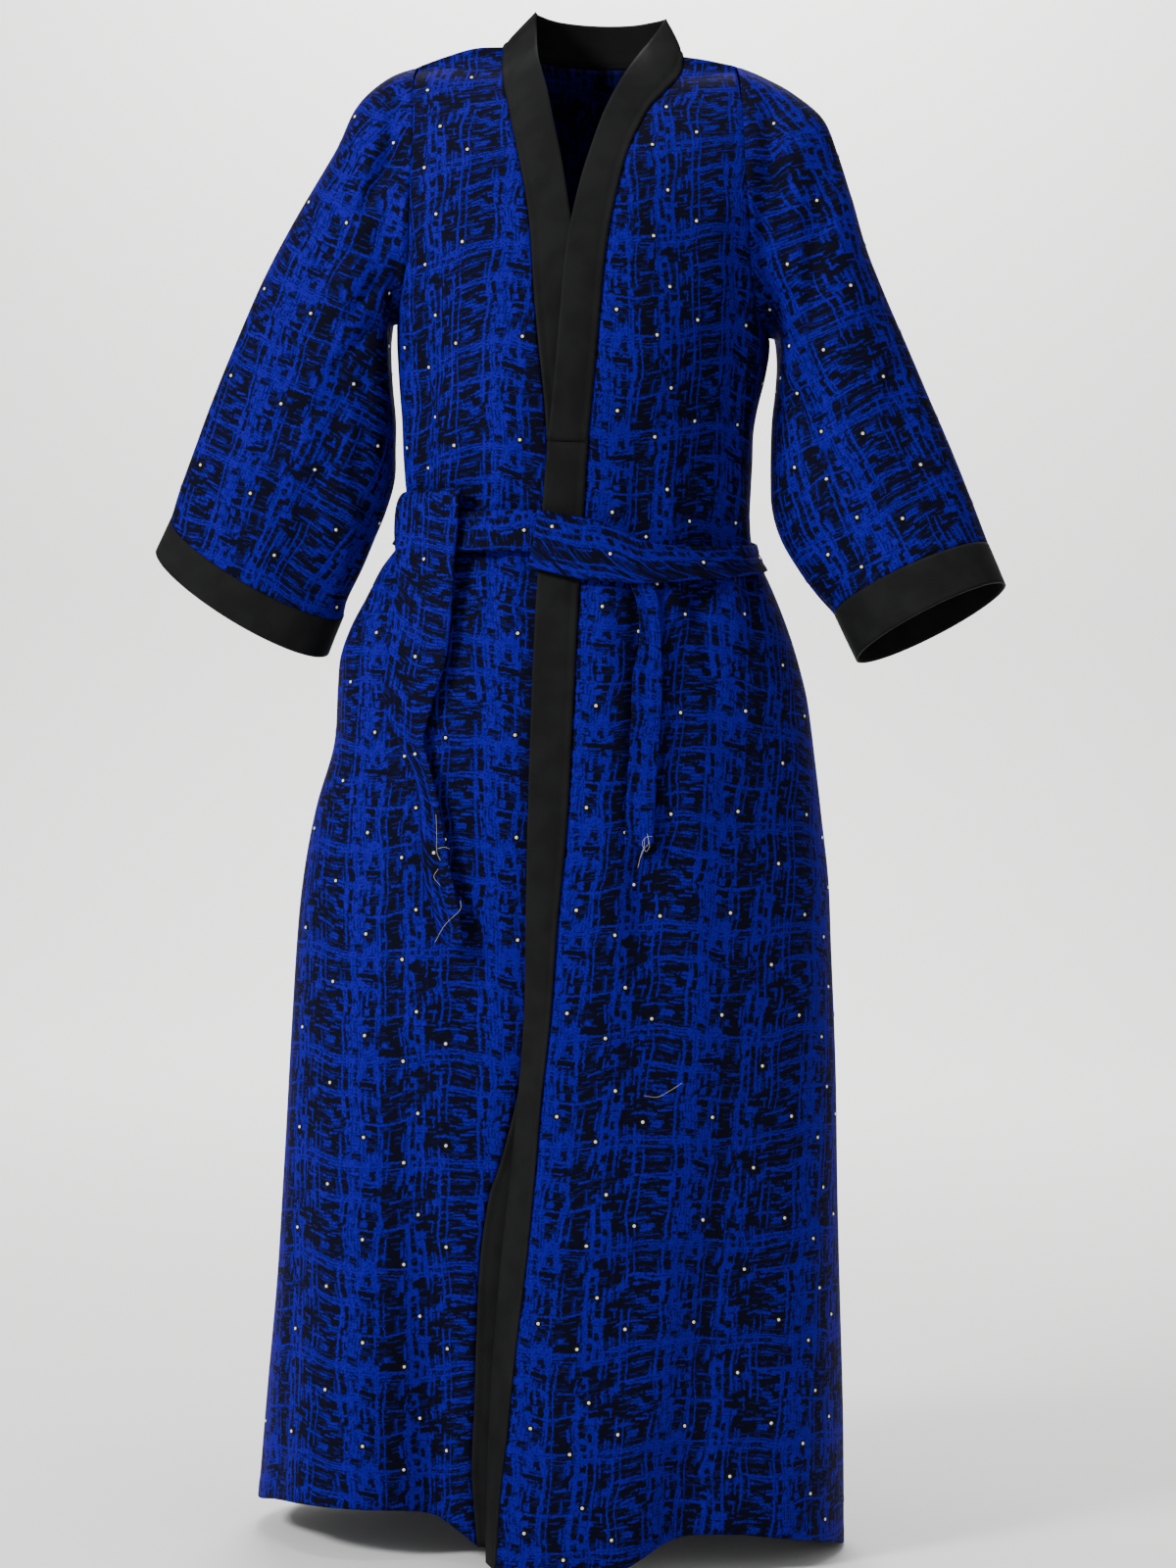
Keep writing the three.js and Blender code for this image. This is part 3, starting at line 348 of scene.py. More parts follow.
def foldDepth(folds, side, x, z):
    total = np.zeros(np.broadcast(x, z).shape)
    for x1, z1, x2, z2, bow, width, depth1, depth2 in folds[side]:
        runX, runZ = x2 - x1, z2 - z1
        upright = abs(runZ) > abs(runX)
        along = (z - z1) / runZ if upright else (x - x1) / runX
        t = np.clip(along, 0, 1)
        beyond = (along - t) * (runZ if upright else runX)
        off = x - blend(x1, x2, t) if upright else z - blend(z1, z2, t)
        across = off - bow * np.sin(np.pi * t)
        far = (across * across + beyond * beyond * robe["foldEnd"]) / (width * width)
        total = total + blend(depth1, depth2, t) * np.exp(-far)
    return total


def creaseDepth(creases, side, x, z):
    return robe["creaseScale"] * foldDepth(creases, side, x, z)


def chestOut(x, z):
    return sum(out * bump(x, cx, wide) * bump(z, cz, tall) for cx, cz, wide, tall, out in chestShape)


def frontDepth(x, z):
    s = section(z)
    across = np.clip((x - s["middle"]) / s["half"], -1, 1)
    return (s["front"] * np.sqrt(np.maximum(0, 1 - across ** 2)) - chestOut(x, z)
            - foldDepth(bodyFolds, "front", x, z) - creaseDepth(bodyCreases, "front", x, z))


def pushOut(points, s, side, lapOut):
    # moves the points of a body sheet out by its folds, chest and lap
    x, z = points[..., 0].copy(), points[..., 2].copy()
    depth = np.abs(s["front"] if side == "front" else s["back"])
    ox, oy = (x - s["middle"]) / s["half"], points[..., 1] / depth
    size = np.maximum(np.hypot(ox, oy), 1e-9)
    edge = smooth((s["half"] - np.abs(x - s["middle"])) / robe["sideFade"])
    fold = (foldDepth(bodyFolds, side, x, z) + creaseDepth(bodyCreases, side, x, z)) * edge
    points[..., 0] += ox / size * fold
    points[..., 1] += oy / size * fold
    chest = chestOut(x, z) if side == "front" else 0
    points[..., 1] -= chest * edge + lapOut
    return points


def lapAt(side, x, z):
    across = 1 - ramp(np.abs(x - lap["middle"]), lap["half"], lap["half"] + lap["fade"])
    lift = robe["layerStep"] * across * ramp(-z, -lap["topLevel"], lap["topFade"] - lap["topLevel"])
    if side == "left":
        return lift
    return -lift - lookUp(underSink, z, 1) * ramp(x, lap["sinkFrom"], lap["sinkTo"])


def hemShift(x, z, side):
    hem = lookUp(hemFront if side == "front" else hemBack, x, 1)
    return (hem - robe["hemLevel"]) * (1 - ramp(z, robe["hemLevel"], robe["hemLevel"] + robe["hemFade"]))


def lowerLevels():
    span = robe["armpitLevel"] - robe["hemLevel"]
    count = int(round(span / robe["rowStep"]))
    return robe["hemLevel"] + span * np.arange(count) / count


def frontGrid(side):
    neck, armhole, shoulder = necks[side], armholes[side], shoulders[side]
    t = np.linspace(0, 1, robe["frontColumns"] + 1)[None, :]
    z = lowerLevels()[:, None]
    s = section(z)
    edgeX = lookUp(neck, z, 1)
    start = np.arcsin(np.clip((edgeX - s["middle"]) / s["half"], -1, 1))
    turn = blend(start, np.pi / 2 if side == "left" else -np.pi / 2, t)
    x = s["middle"] + s["half"] * np.sin(turn)
    y = s["front"] * np.maximum(0, np.cos(turn))
    lower = pushOut(np.stack([x, y, z + hemShift(x, z, "front")], -1), s, "front", lapAt(side, x, z))

    rise = np.linspace(0, 1, robe["upperRows"] + 1)[:, None]
    outer = [alongRows(armhole, rise, c) for c in range(4)]
    neckZ = blend(robe["armpitLevel"], neck[0][0], rise)
    innerX, innerY = lookUp(neck, neckZ, 1), lookUp(neck, neckZ, 4)
    roundness = 1 - robe["frontRound"] * smooth(rise)
    s = section(neckZ)
    slope = blend(t, smooth(t), robe["slopeEase"])
    curveX = blend(t, np.sin(t * np.pi / 2), roundness)
    curveY = blend(t, 1 - np.cos(t * np.pi / 2), roundness)
    x = blend(innerX, outer[0], curveX)
    y = blend(innerY, outer[1], curveY)
    z = blend(neckZ, outer[3], slope)
    near = ramp(rise, robe["shoulderFrom"], 1)
    x = blend(x, alongRows(shoulder, t, 0), near)
    y = blend(y, alongRows(shoulder, t, 1), near ** 4)
    z = blend(z, z + alongRows(shoulder, t, 2) - blend(neck[0][0], armhole[-1][3], slope), near)
    points = np.stack(np.broadcast_arrays(x, y, z), -1)
    pushed = pushOut(points.copy(), s, "front", lapAt(side, x, z))
    keep = (1 - ramp(rise, robe["foldsTo"], 1)) * np.where(t < 1, 1, 0)
    upper = blend(points, pushed, keep[..., None])
    return np.concatenate([lower, upper])


def backGrid(frontRight, frontLeft):
    side, neck = robe["frontColumns"], robe["neckColumns"]
    columns = side * 2 + neck
    turn = np.linspace(-np.pi / 2, np.pi / 2, columns + 1)[None, :]
    z = lowerLevels()[:, None]
    s = section(z)
    x = s["middle"] + s["half"] * np.sin(turn)
    y = s["back"] * np.maximum(0, np.cos(turn))
    lower = pushOut(np.stack([x, y, z + hemShift(x, z, "back")], -1), s, "back", 0)

    share = np.linspace(1, 0, side + 1)
    top = [[alongRows(shoulders["right"], v, k) for k in range(3)] for v in share]
    top += [[alongRows(neckBack, v, k) for k in range(3)] for v in np.linspace(0, 1, neck + 1)[1:-1]]
    top += [[alongRows(shoulders["left"], v, k) for k in range(3)] for v in share[::-1]]
    top = np.array(top)[None]
    base = section(robe["armpitLevel"])
    rise = np.linspace(0, 1, robe["upperRows"] + 1)[:, None]
    right = [alongRows(armholes["right"], rise, c) for c in range(4)]
    left = [alongRows(armholes["left"], rise, c) for c in range(4)]
    baseT = (np.sin(turn) + 1) / 2
    topT = (top[..., 0] - top[0, 0, 0]) / (top[0, -1, 0] - top[0, 0, 0])
    t = blend(baseT, topT, smooth(rise))
    x = blend(right[0], left[0], t)
    nearEdge = np.abs(2 * t - 1) ** 5
    baseY = base["back"] * np.sqrt(np.maximum(0, 1 - (2 * baseT - 1) ** 2))
    column = np.arange(columns + 1)[None, :]
    nearNeck = 1 - smooth((np.abs(column - columns / 2) - neck / 2) / (side / 2))
    lift = (1 - rise) ** blend(robe["shoulderRound"], robe["neckRound"], nearNeck)
    bodyY = blend(top[..., 1], baseY, lift)
    edgeY = blend(right[2], left[2], t) - (1 - lift)
    bodyZ = blend(robe["armpitLevel"], top[..., 2], rise)
    topZ = blend(top[0, 0, 2], top[0, -1, 2], t)
    edgeZ = blend(right[3], left[3], t) - blend(robe["armpitLevel"], topZ, rise)
    points = np.stack([x, bodyY + edgeY * nearEdge, bodyZ + edgeZ * nearEdge], -1)
    pushed = pushOut(points.copy(), section(bodyZ), "back", 0)
    keep = (1 - ramp(rise, robe["backFoldsTo"], 1)) * np.ones_like(t)
    upper = blend(points, pushed, keep[..., None])
    upper[-1] = top[0]
    upper[:, 0] = np.concatenate([right[0], right[2], right[3]], 1)
    upper[:, -1] = np.concatenate([left[0], left[2], left[3]], 1)
    grid = np.concatenate([lower, upper])
    low = lower.shape[0]
    grid[:low, 0] = frontRight[:low, -1]
    grid[:low, -1] = frontLeft[:low, -1]
    return grid


def ringPoints(rings, r, turn):
    ox, oz, ix, iz, y, front, back, tilt = (alongRows(rings, r, c) for c in range(8))
    along = (1 + np.cos(turn)) / 2
    sideways = np.sin(turn)
    depth = np.where(sideways >= 0, front, back)
    lean = np.radians(tilt)
    return np.stack([
        blend(ix, ox, along) + 0 * sideways,
        y - depth * sideways * np.cos(lean),
        blend(iz, oz, along) + depth * sideways * np.sin(lean),
    ], -1)


def armholeLoop(armhole, turn):
    # the armhole edge by turn: front from the tip down to the armpit, then up behind
    front = turn <= np.pi
    share = np.where(front, 1 - turn / np.pi, turn / np.pi - 1)
    x, yFront, yBack, z = (alongRows(armhole, share, c) for c in range(4))
    return np.stack([x, np.where(front, yFront, yBack), z], -1)


def turnsRound(columns):
    # turn of each point round an arm, which opens at the seam under it
    raw = np.linspace(-np.pi, np.pi, columns)[None, :]
    return np.where(raw < 0, raw + 2 * np.pi, raw)


def sleeveGrid(side):
    rings, folds, creases = (sleeves[side][key] for key in ("rings", "folds", "creases"))
    r = np.linspace(0, 1, robe["sleeveRows"] + 1)[:, None]
    turn = turnsRound(robe["sleeveColumns"] + 1)
    points = ringPoints(rings, r, turn)
    first = ringPoints(rings, np.zeros_like(r[:1]), turn)
    keep = 1 - smooth(r * (len(rings) - 1) / robe["blendRings"])
    points = points + (armholeLoop(armholes[side], turn) - first) * keep[..., None]
    x1, z1, x2, z2, y = (alongRows(rings, r, c) for c in range(5))
    out = points - np.stack([(x1 + x2) / 2, y, (z1 + z2) / 2], -1)
    out /= np.maximum(np.linalg.norm(out, axis=-1, keepdims=True), 1e-9)
    x, z = points[..., 0], points[..., 2]
    frontFold, backFold = (foldDepth(folds, half, x, z) + creaseDepth(creases, half, x, z)
                           for half in ("front", "back"))
    sideways = np.sin(turn)
    fold = np.where(sideways >= 0, frontFold, backFold) * np.minimum(1, np.abs(sideways) * 2)
    first, last = robe["sleeveFolds"]
    fold = fold * ramp(r, 0, first) * (1 - ramp(r, last, 1))
    return points + out * fold[..., None]


def cuffGrid(side, seam):
    r = np.linspace(0, 1, robe["cuffRows"] + 1)[:, None]
    points = ringPoints(sleeves[side]["cuff"], r, turnsRound(seam.shape[0]))
    return points + (seam[None] - points[:1]) * (1 - smooth(r * 2))[..., None]


def normalsOf(grid):
    n = np.cross(np.gradient(grid, axis=1), np.gradient(grid, axis=0))
    return n / np.maximum(np.linalg.norm(n, axis=-1, keepdims=True), 1e-9)


def runAlong(grid, axis):
    # distance over the cloth from the first point of each column (axis 0) or row (axis 1)
    step = np.linalg.norm(np.diff(grid, axis=axis), axis=-1)
    return np.insert(np.cumsum(step, axis=axis), 0, 0, axis=axis)


def shapedObject(name, verts, faces, materials):
    mesh = bpy.data.meshes.new(name)
    mesh.from_pydata(verts, [], faces)
    mesh.polygons.foreach_set("use_smooth", [True] * len(mesh.polygons))
    for each in materials:
        mesh.materials.append(each)
    obj = bpy.data.objects.new(name, mesh)
    bpy.context.scene.collection.objects.link(obj)
    return obj


def sheetMesh(name, grid, places, thick, materials, flipped):
    rows, columns = grid.shape[:2]
    index = np.arange(rows * columns).reshape(rows, columns)
    a, b, c, d = index[:-1, :-1], index[:-1, 1:], index[1:, 1:], index[1:, :-1]
    faces = np.stack([a, d, c, b] if flipped else [a, b, c, d], -1).reshape(-1, 4)
    obj = shapedObject(name, (grid.reshape(-1, 3) * mm).tolist(), faces.tolist(), materials)
    place = obj.data.attributes.new("clothPlace", "FLOAT_VECTOR", "POINT")
    flat = np.insert(places.reshape(-1, 2), 2, 0, axis=1)
    place.data.foreach_set("vector", flat.astype(np.float32).ravel())
    shell = obj.modifiers.new("clothThickness", "SOLIDIFY")
    shell.thickness = thick * mm
    shell.offset = 0
    shell.material_offset = 1                 # the wrong side of the cloth is the second material
    shell.material_offset_rim = 0
    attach(obj, "root")
    return obj


def smoothNoise(seed, waves):
    # a sum of soft waves that is the same on every run
    rng = random.Random(seed)
    parts = [(rng.uniform(0.6, 1.4), rng.uniform(0, 2 * math.pi), rng.uniform(-1, 1)) for _ in range(waves)]

    def at(a, b):
        total = 0
        for size, phase, tilt in parts:
            total = total + np.sin(a * size + b * tilt + phase)
        return total / math.sqrt(waves)
    return at


# Depth and spacing of the cloth's unevenness, and how many points from an edge it starts.
uneven = {"size": 0.5, "across": 26, "along": 26 * 1.7, "edgePoints": 5}


def unevenCloth(grid, seed):
    # small hand-pressed unevenness of worn cloth, square to the sheet
    noise = smoothNoise(seed, 7)
    off = noise(grid[..., 0] / uneven["across"], grid[..., 2] / uneven["along"]) * uneven["size"]
    rows, columns = grid.shape[:2]
    i, j = np.arange(rows)[:, None], np.arange(columns)[None, :]
    edge = np.minimum(np.minimum(i, rows - 1 - i), np.minimum(j, columns - 1 - j)) / uneven["edgePoints"]
    return grid + normalsOf(grid) * (off * smooth(edge))[..., None]


def acrossFrom(grid, x0):
    # distance across the cloth from the upright grain line at x0, by row
    u = runAlong(grid, 1)
    for row in range(grid.shape[0]):
        xs = grid[row, :, 0]
        order = np.argsort(xs)
        u[row] -= np.interp(x0, xs[order], u[row][order])
    return u


def alongGrain(grid, x0):
    # distance up the cloth, read on the upright grain line at x0 and kept level across the piece
    line = []
    for row in grid:
        row = row[np.argsort(row[:, 0])]
        line.append([np.interp(x0, row[:, 0], row[:, k]) for k in (1, 2)])
    line = np.array(line)
    run = np.r_[0, np.cumsum(np.hypot(*np.diff(line, axis=0).T))]
    order = np.argsort(line[:, 1])
    low, high = line[order[0]], line[order[-1]]
    z = grid[..., 2]
    v = np.interp(z, line[order, 1], run[order])
    return v + np.minimum(z - low[1], 0) + np.maximum(z - high[1], 0)


calmRounds = 40     # rounds of smoothing before the print is laid on


def calmed(grid):
    # the same sheet without its small creases, to lay the print on
    grid = grid.copy()
    for _ in range(calmRounds):
        grid[1:-1] = (grid[:-2] + grid[2:] + 2 * grid[1:-1]) / 4
        grid[:, 1:-1] = (grid[:, :-2] + grid[:, 2:] + 2 * grid[:, 1:-1]) / 4
    return grid


# Angles at which the round arm is measured, and the cloth's ease along it.
armTable = {"reach": 1.2 * np.pi, "half": 240, "stretch": 1.04}


def onArm(grid):
    # the sleeve's cloth unrolled from a round arm: across from the outer line, and along the arm
    halfRow, halfColumn = grid.shape[0] // 2, grid.shape[1] // 2
    middle = grid.mean(axis=1)
    start = middle[0]
    way = middle[-1] - start
    way /= np.linalg.norm(way)
    ahead = np.array([0, -1.0, 0])
    ahead -= way * (ahead @ way)
    ahead /= np.linalg.norm(ahead)
    aside = np.cross(way, ahead)
    aside *= np.sign((grid[-1, halfColumn] - middle[-1]) @ aside)
    along = (grid - start) @ way
    wide, deep = (np.mean([np.ptp(ring @ each) / 2 for ring in grid[halfRow:]]) for each in (aside, ahead))
    centre = middle[halfRow:] - start
    shift = (centre - (centre @ way)[:, None] * way).mean(0)
    off = grid - start - along[..., None] * way - shift
    turn = np.arctan2((off @ ahead) / deep, (off @ aside) / wide)
    for edge, beside in ((0, 1), (-1, -2)):
        turn[:, edge] = np.sign(turn[:, beside]) * abs(turn[:, edge])
    angles = np.linspace(-armTable["reach"], armTable["reach"], 2 * armTable["half"] + 1)
    rate = np.hypot(wide * np.sin(angles), deep * np.cos(angles))
    run = np.r_[0, np.cumsum((rate[1:] + rate[:-1]) / 2 * np.diff(angles))]
    return np.interp(turn, angles, run - run[armTable["half"]]), along * armTable["stretch"]


# Where the print starts on each piece of cloth, in millimetres across and along.
printStart = {
    "back": (0, 0), "front_right": (31, 52), "front_left": (58, 12), "sleeve_right": (20, 60),
    "sleeve_left": (84, 25), "belt": (0, 30), "belt_tail_right": (40, 10), "belt_tail_left": (76, 44),
}


def printed(name, u, v):
    startU, startV = printStart.get(name, (0, 0))
    return np.stack([u + startU, v + startV], -1)


# Rows and edge points that the smoothing reaches, its rounds and its strength.
iron = {"rows": 9.0, "edgePoints": 9, "rounds": 60, "strength": 0.9}


def ironed(grid, side):
    # smooths the rows near the armpit level, but not the armhole's edge
    low = len(lowerLevels())
    i = np.arange(grid.shape[0])[:, None]
    j = np.arange(grid.shape[1])[None, :]
    columns = grid.shape[1] - 1
    edge = columns - j if side != "back" else np.minimum(j, columns - j)
    weight = np.exp(-((i - low) / iron["rows"]) ** 2) * smooth(edge / iron["edgePoints"])
    for _ in range(iron["rounds"]):
        middle = grid.copy()
        middle[1:-1] = (grid[:-2] + grid[2:]) / 2
        grid = grid + (middle - grid) * (iron["strength"] * weight)[..., None]
    return grid


# The band stands up towards the neck: from what level, and how far it leans forward and then back.
standing = {"from": -110, "front": 6, "back": 8, "bodyFrom": (130, 190)}


def freeEdges(side, seam):
    # free edge of a band for each seam point
    neck = necks[side]
    x0, z0 = seam[:, 0], seam[:, 2]
    z = np.clip(z0, neck[-1][0], neck[0][0])
    x, lift = lookUp(neck, z, 2), lookUp(neck, z, 3)
    turned = lookUp(overTurn, z, 1) if side == "left" else 0
    lapChange = lapAt(side, x0, z) - lapAt(side, x, z)
    bodyChange = (frontDepth(x, z) - frontDepth(x0, z)) * ramp(-z, *standing["bodyFrom"])
    high = ramp(z, standing["from"], 0)
    stand = standing["back"] * high * high - standing["front"] * np.sin(high * np.pi)
    y = seam[:, 1] + lapChange + bodyChange + turned + stand
    return np.stack([x, y, z0 + lift], -1)


# The folded strips' relief: ripples along them, a ridge and a stitch line beside the seam, a soft middle.
strip = {"ripple": 0.5, "rippleRun": 34, "ridge": 0.5, "ridgeAt": 0.06, "stitchAt": 0.16, "puff": 0.7,
         "lift": 0.25, "ridgeWide": 0.05, "plainEdge": 0.05}


def bandGrid(seam, free, seed):
    t = np.linspace(0, 1, robe["stripColumns"] + 1)[None, :]
    plain = blend(seam[:, None], free[:, None], t[..., None])
    length = runAlong(seam, 0)[:, None]
    ripple = smoothNoise(seed, 6)(length / strip["rippleRun"], t * 0.6) * strip["ripple"]
    ripple = ripple * np.sin(np.pi * np.clip(t, strip["plainEdge"], 1 - strip["plainEdge"]))
    wide = strip["ridgeWide"]
    ridge = strip["ridge"] * (bump(t, strip["ridgeAt"], wide) - bump(t, strip["stitchAt"], wide))
    puff = strip["puff"] * np.sin(np.pi * t) + strip["lift"]
    grid = plain + normalsOf(plain) * (ripple + ridge + puff)[..., None]
    return grid if outward(grid, "band") > 0 else (2 * plain - grid)[:, ::-1]


# The belt by degrees round the body, from the front to its own right: top, bottom, how far out.
beltShape = {"stations": 520, "low": -470, "high": -405, "fade": 14, "seed": 31, "uneven": 0.4, "puff": 0.5}
beltTable = np.array([
    [4, -426, -458, 6.2], [-16, -420, -456, 6.4], [-36, -422, -456, 8], [-52, -417, -452, 10.6],
    [-66, -413, -449, 9.8], [-90, -409, -446, 4.6], [-120, -408, -447, 4.4], [-150, -409, -448, 4.4],
    [-180, -411, -451, 4.4], [-210, -416, -454, 4.4], [-240, -424, -458, 4.4], [-270, -434, -457, 4.4],
    [-292, -439, -463, 5.2], [-312, -443, -470, 7.6], [-326, -446, -475, 9.4], [-340, -444, -480, 12],
    [-350, -433, -480, 12.4], [-358, -427, -479, 12.2], [-366, -423, -474, 12], [-372.5, -420, -469, 11.8],
], float)
# Creases along the belt: start and end in degrees, place across from the bottom, half width, depth.
beltCreases = [
    (4, -60, 0.62, 0.10, -0.9), (-10, -80, 0.28, 0.09, -0.7), (-70, -160, 0.45, 0.12, -1.0),
    (-120, -230, 0.72, 0.09, -0.8), (-180, -290, 0.30, 0.10, -0.8), (-250, -330, 0.60, 0.10, -1.1),
    (-290, -345, 0.30, 0.09, -1.2), (-300, -372, 0.82, 0.07, -1.0), (-335, -372, 0.46, 0.09, -1.1),
    (-350, -372, 0.18, 0.07, -0.9),
]
# The tails down their length: height, right edge, left edge, how far they stand out. A shallow trough
# wanders down the middle of each strip.
tailShape = {"rows": 220, "columns": 16, "trough": 1.1, "troughAt": 0.42, "troughWide": 0.2, "wander": 0.1,
             "wave": 0.45, "puff": 0.5}
tailTables = {
    "belt_tail_right": np.array([
        [-428, -142, -106, 4.2], [-413, -143, -104, 4.2], [-405, -145, -102, 6.6], [-402.5, -147, -101, 10],
        [-406, -149, -101, 14], [-417, -150, -100, 15.8], [-440, -151, -101, 15.6], [-462, -152, -104, 14],
        [-490, -154, -106, 10.4], [-520, -157, -108, 8.4], [-552, -160, -111, 7.8], [-580, -162, -118, 8],
        [-604, -156, -124, 8.6], [-622, -147, -126, 9.8], [-645, -134, -119, 10.2], [-672, -128, -112, 9.4],
        [-705, -126, -106, 8.4], [-740, -122, -98, 7.8], [-770, -112, -91, 7.6], [-792, -108, -88, 7.8],
    ], float),
    "belt_tail_left": np.array([
        [-448, 38, 58, 8.6], [-462, 38, 58, 8.8], [-480, 40, 60, 6.6], [-500, 47, 65, 6.4],
        [-530, 49, 67, 7], [-562, 45, 70, 7], [-600, 45, 69, 7], [-640, 44, 68, 7],
        [-675, 43, 67, 7.2], [-704, 43, 67, 7.6],
    ], float),
}


def onBody(x, z, out):
    # points on the plain front of the body at x and z, moved out square to it
    s = section(z)
    across = np.clip((x - s["middle"]) / s["half"], -1, 1)
    y = s["front"] * np.sqrt(np.maximum(0, 1 - across ** 2))
    away = np.stack([across / s["half"], y / s["front"] ** 2, 0 * x], -1)
    away /= np.maximum(np.linalg.norm(away, axis=-1, keepdims=True), 1e-12)
    return np.stack([x, y, z], -1) + away * out[..., None]


def beltGrid():
    degrees = np.linspace(beltTable[0][0], beltTable[-1][0], beltShape["stations"] + 1)[:, None]
    t = np.linspace(0, 1, robe["stripColumns"] + 1)[None, :]
    top, bottom, out = (lookUp(beltTable, degrees, c) for c in (1, 2, 3))
    z = blend(bottom, top, t)
    s = section(np.clip(z, beltShape["low"], beltShape["high"]))
    turn = np.radians(degrees)
    depth = np.where(np.cos(turn) >= 0, s["front"], s["back"])
    x = s["middle"] + s["half"] * np.sin(turn)
    y = depth * np.abs(np.cos(turn))
    away = np.stack([np.sin(turn) / s["half"], y / depth ** 2, 0 * z], -1)
    away /= np.linalg.norm(away, axis=-1, keepdims=True)
    crease = np.zeros_like(z)
    for start, end, place, width, deep in beltCreases:
        inside = smooth((start - degrees) / beltShape["fade"]) * smooth((degrees - end) / beltShape["fade"])
        crease += deep * inside * bump(t, place, width)
    crease += beltShape["uneven"] * smoothNoise(beltShape["seed"], 6)(degrees / 9, t * 3)
    crease += beltShape["puff"] * np.sin(np.pi * t)
    return np.stack([x, y, z], -1) + away * (out + crease)[..., None]


def tailGrid(name, seed):
    share = np.linspace(0, 1, tailShape["rows"] + 1)[:, None]
    z, rightX, leftX, out = (alongRows(tailTables[name], share, c) for c in range(4))
    t = np.linspace(0, 1, tailShape["columns"] + 1)[None, :]
    x = blend(rightX, leftX, t)
    noise = smoothNoise(seed, 6)
    at = tailShape["troughAt"] + tailShape["wander"] * noise(share * 9, 0)
    trough = tailShape["trough"] * bump(t, at, tailShape["troughWide"])
    wave = tailShape["wave"] * noise(share * 26, t * 2)
    return onBody(x, np.broadcast_to(z, x.shape), out - trough + wave + tailShape["puff"])


# The seams' depth, reach and the number of points that are moved beside them.
ditch = {"deep": 0.8, "reach": 2.6, "points": 8}


def seamDitch(grid, edges):
    # sewn edges sink a little where two pieces of cloth meet
    sink = np.zeros(grid.shape[:2])
    seenFrom = {"start": lambda g: g, "end": lambda g: g[:, ::-1], "bottom": lambda g: g.swapaxes(0, 1)}
    for edge in edges:
        near = seenFrom[edge](grid)[:, :ditch["points"]]
        part = bump(runAlong(near, 1), 0, ditch["reach"]) * ditch["deep"]
        s = seenFrom[edge](sink)[:, :ditch["points"]]
        s[:] = np.maximum(s, part)
    return grid - normalsOf(grid) * sink[..., None]


def outward(grid, name):
    # +1 where the sheet's own normal already points out of the robe
    if name.startswith(("sleeve", "cuff")):
        middle = grid.mean(axis=1, keepdims=True)
    else:
        middle = grid * np.array([0, 0, 1]) + np.array([robe["middle"], 0, 0])
    return 1 if (normalsOf(grid) * (grid - middle)).sum() > 0 else -1


hemTurn = {"height": 16, "out": 0.45, "fade": 2.5, "stitchDeep": 0.35, "stitchReach": 1.6}


def turnedHem(grid):
    # the turned-up hem stands out a little below its stitch line
    far = runAlong(grid, 0) - hemTurn["height"]
    rise = hemTurn["out"] * (1 - smooth((far + 1) / hemTurn["fade"]))
    rise = rise - hemTurn["stitchDeep"] * bump(far, 0, hemTurn["stitchReach"])
    return grid + normalsOf(grid) * rise[..., None]


print("shapes read")

frontRight, frontLeft = ironed(frontGrid("right"), "front"), ironed(frontGrid("left"), "front")
back = ironed(backGrid(frontRight, frontLeft), "back")
sleeveRight, sleeveLeft = sleeveGrid("right"), sleeveGrid("left")
cuffRight, cuffLeft = cuffGrid("right", sleeveRight[-1]), cuffGrid("left", sleeveLeft[-1])

seams = {"right": frontRight[:, 0].copy(), "left": frontLeft[:, 0].copy()}
free = {side: freeEdges(side, seams[side]) for side in seams}
crossLevel = -360     # the neck's band ends here, where one front covers the other
joinPoints = 10
crossRow = int(np.argmin(np.abs(lowerLevels() - crossLevel)))
across = np.linspace(0, 1, robe["neckColumns"] + 1)
neckSeam = np.stack([alongRows(neckBack, across, k) for k in range(3)], -1)
neckFree = np.stack([alongRows(neckBack, across, k) for k in range(3, 6)], -1)
for side, end in (("left", -1), ("right", 0)):
    # the last points of the front bands run into the band behind the neck
    share = smooth(np.linspace(0, 1, joinPoints))[:, None]
    free[side][-joinPoints:] += (neckFree[end] - free[side][-1]) * share


def roundNeck(lines, behind):
    return np.concatenate([lines["left"][crossRow:], behind[::-1][1:-1], lines["right"][crossRow:][::-1]])


grids = {
    "back": back, "front_right": frontRight, "front_left": frontLeft,
    "sleeve_right": sleeveRight, "sleeve_left": sleeveLeft,
    "cuff_right": cuffRight, "cuff_left": cuffLeft,
    "band_neck": bandGrid(roundNeck(seams, neckSeam), roundNeck(free, neckFree), 11),
    "band_lower_left": bandGrid(seams["left"][:crossRow + 1], free["left"][:crossRow + 1], 12),
    "band_lower_right": bandGrid(seams["right"][:crossRow + 1], free["right"][:crossRow + 1], 13),
    "belt": beltGrid(),
    "belt_tail_right": tailGrid("belt_tail_right", 5),
    "belt_tail_left": tailGrid("belt_tail_left", 8),
}
unevenSeeds = {"back": 1, "front_right": 2, "front_left": 3, "sleeve_right": 4, "sleeve_left": 6}
for name, seed in unevenSeeds.items():
    grid = grids[name]
    if outward(grid, name) < 0:
        grid = grid[:, ::-1]
    grid = unevenCloth(grid, seed)
    if name.startswith("sleeve"):
        grids[name] = seamDitch(grid, ("start", "end", "bottom"))
    else:
        grids[name] = turnedHem(seamDitch(grid, ("start", "end")))
print("cloth shaped")


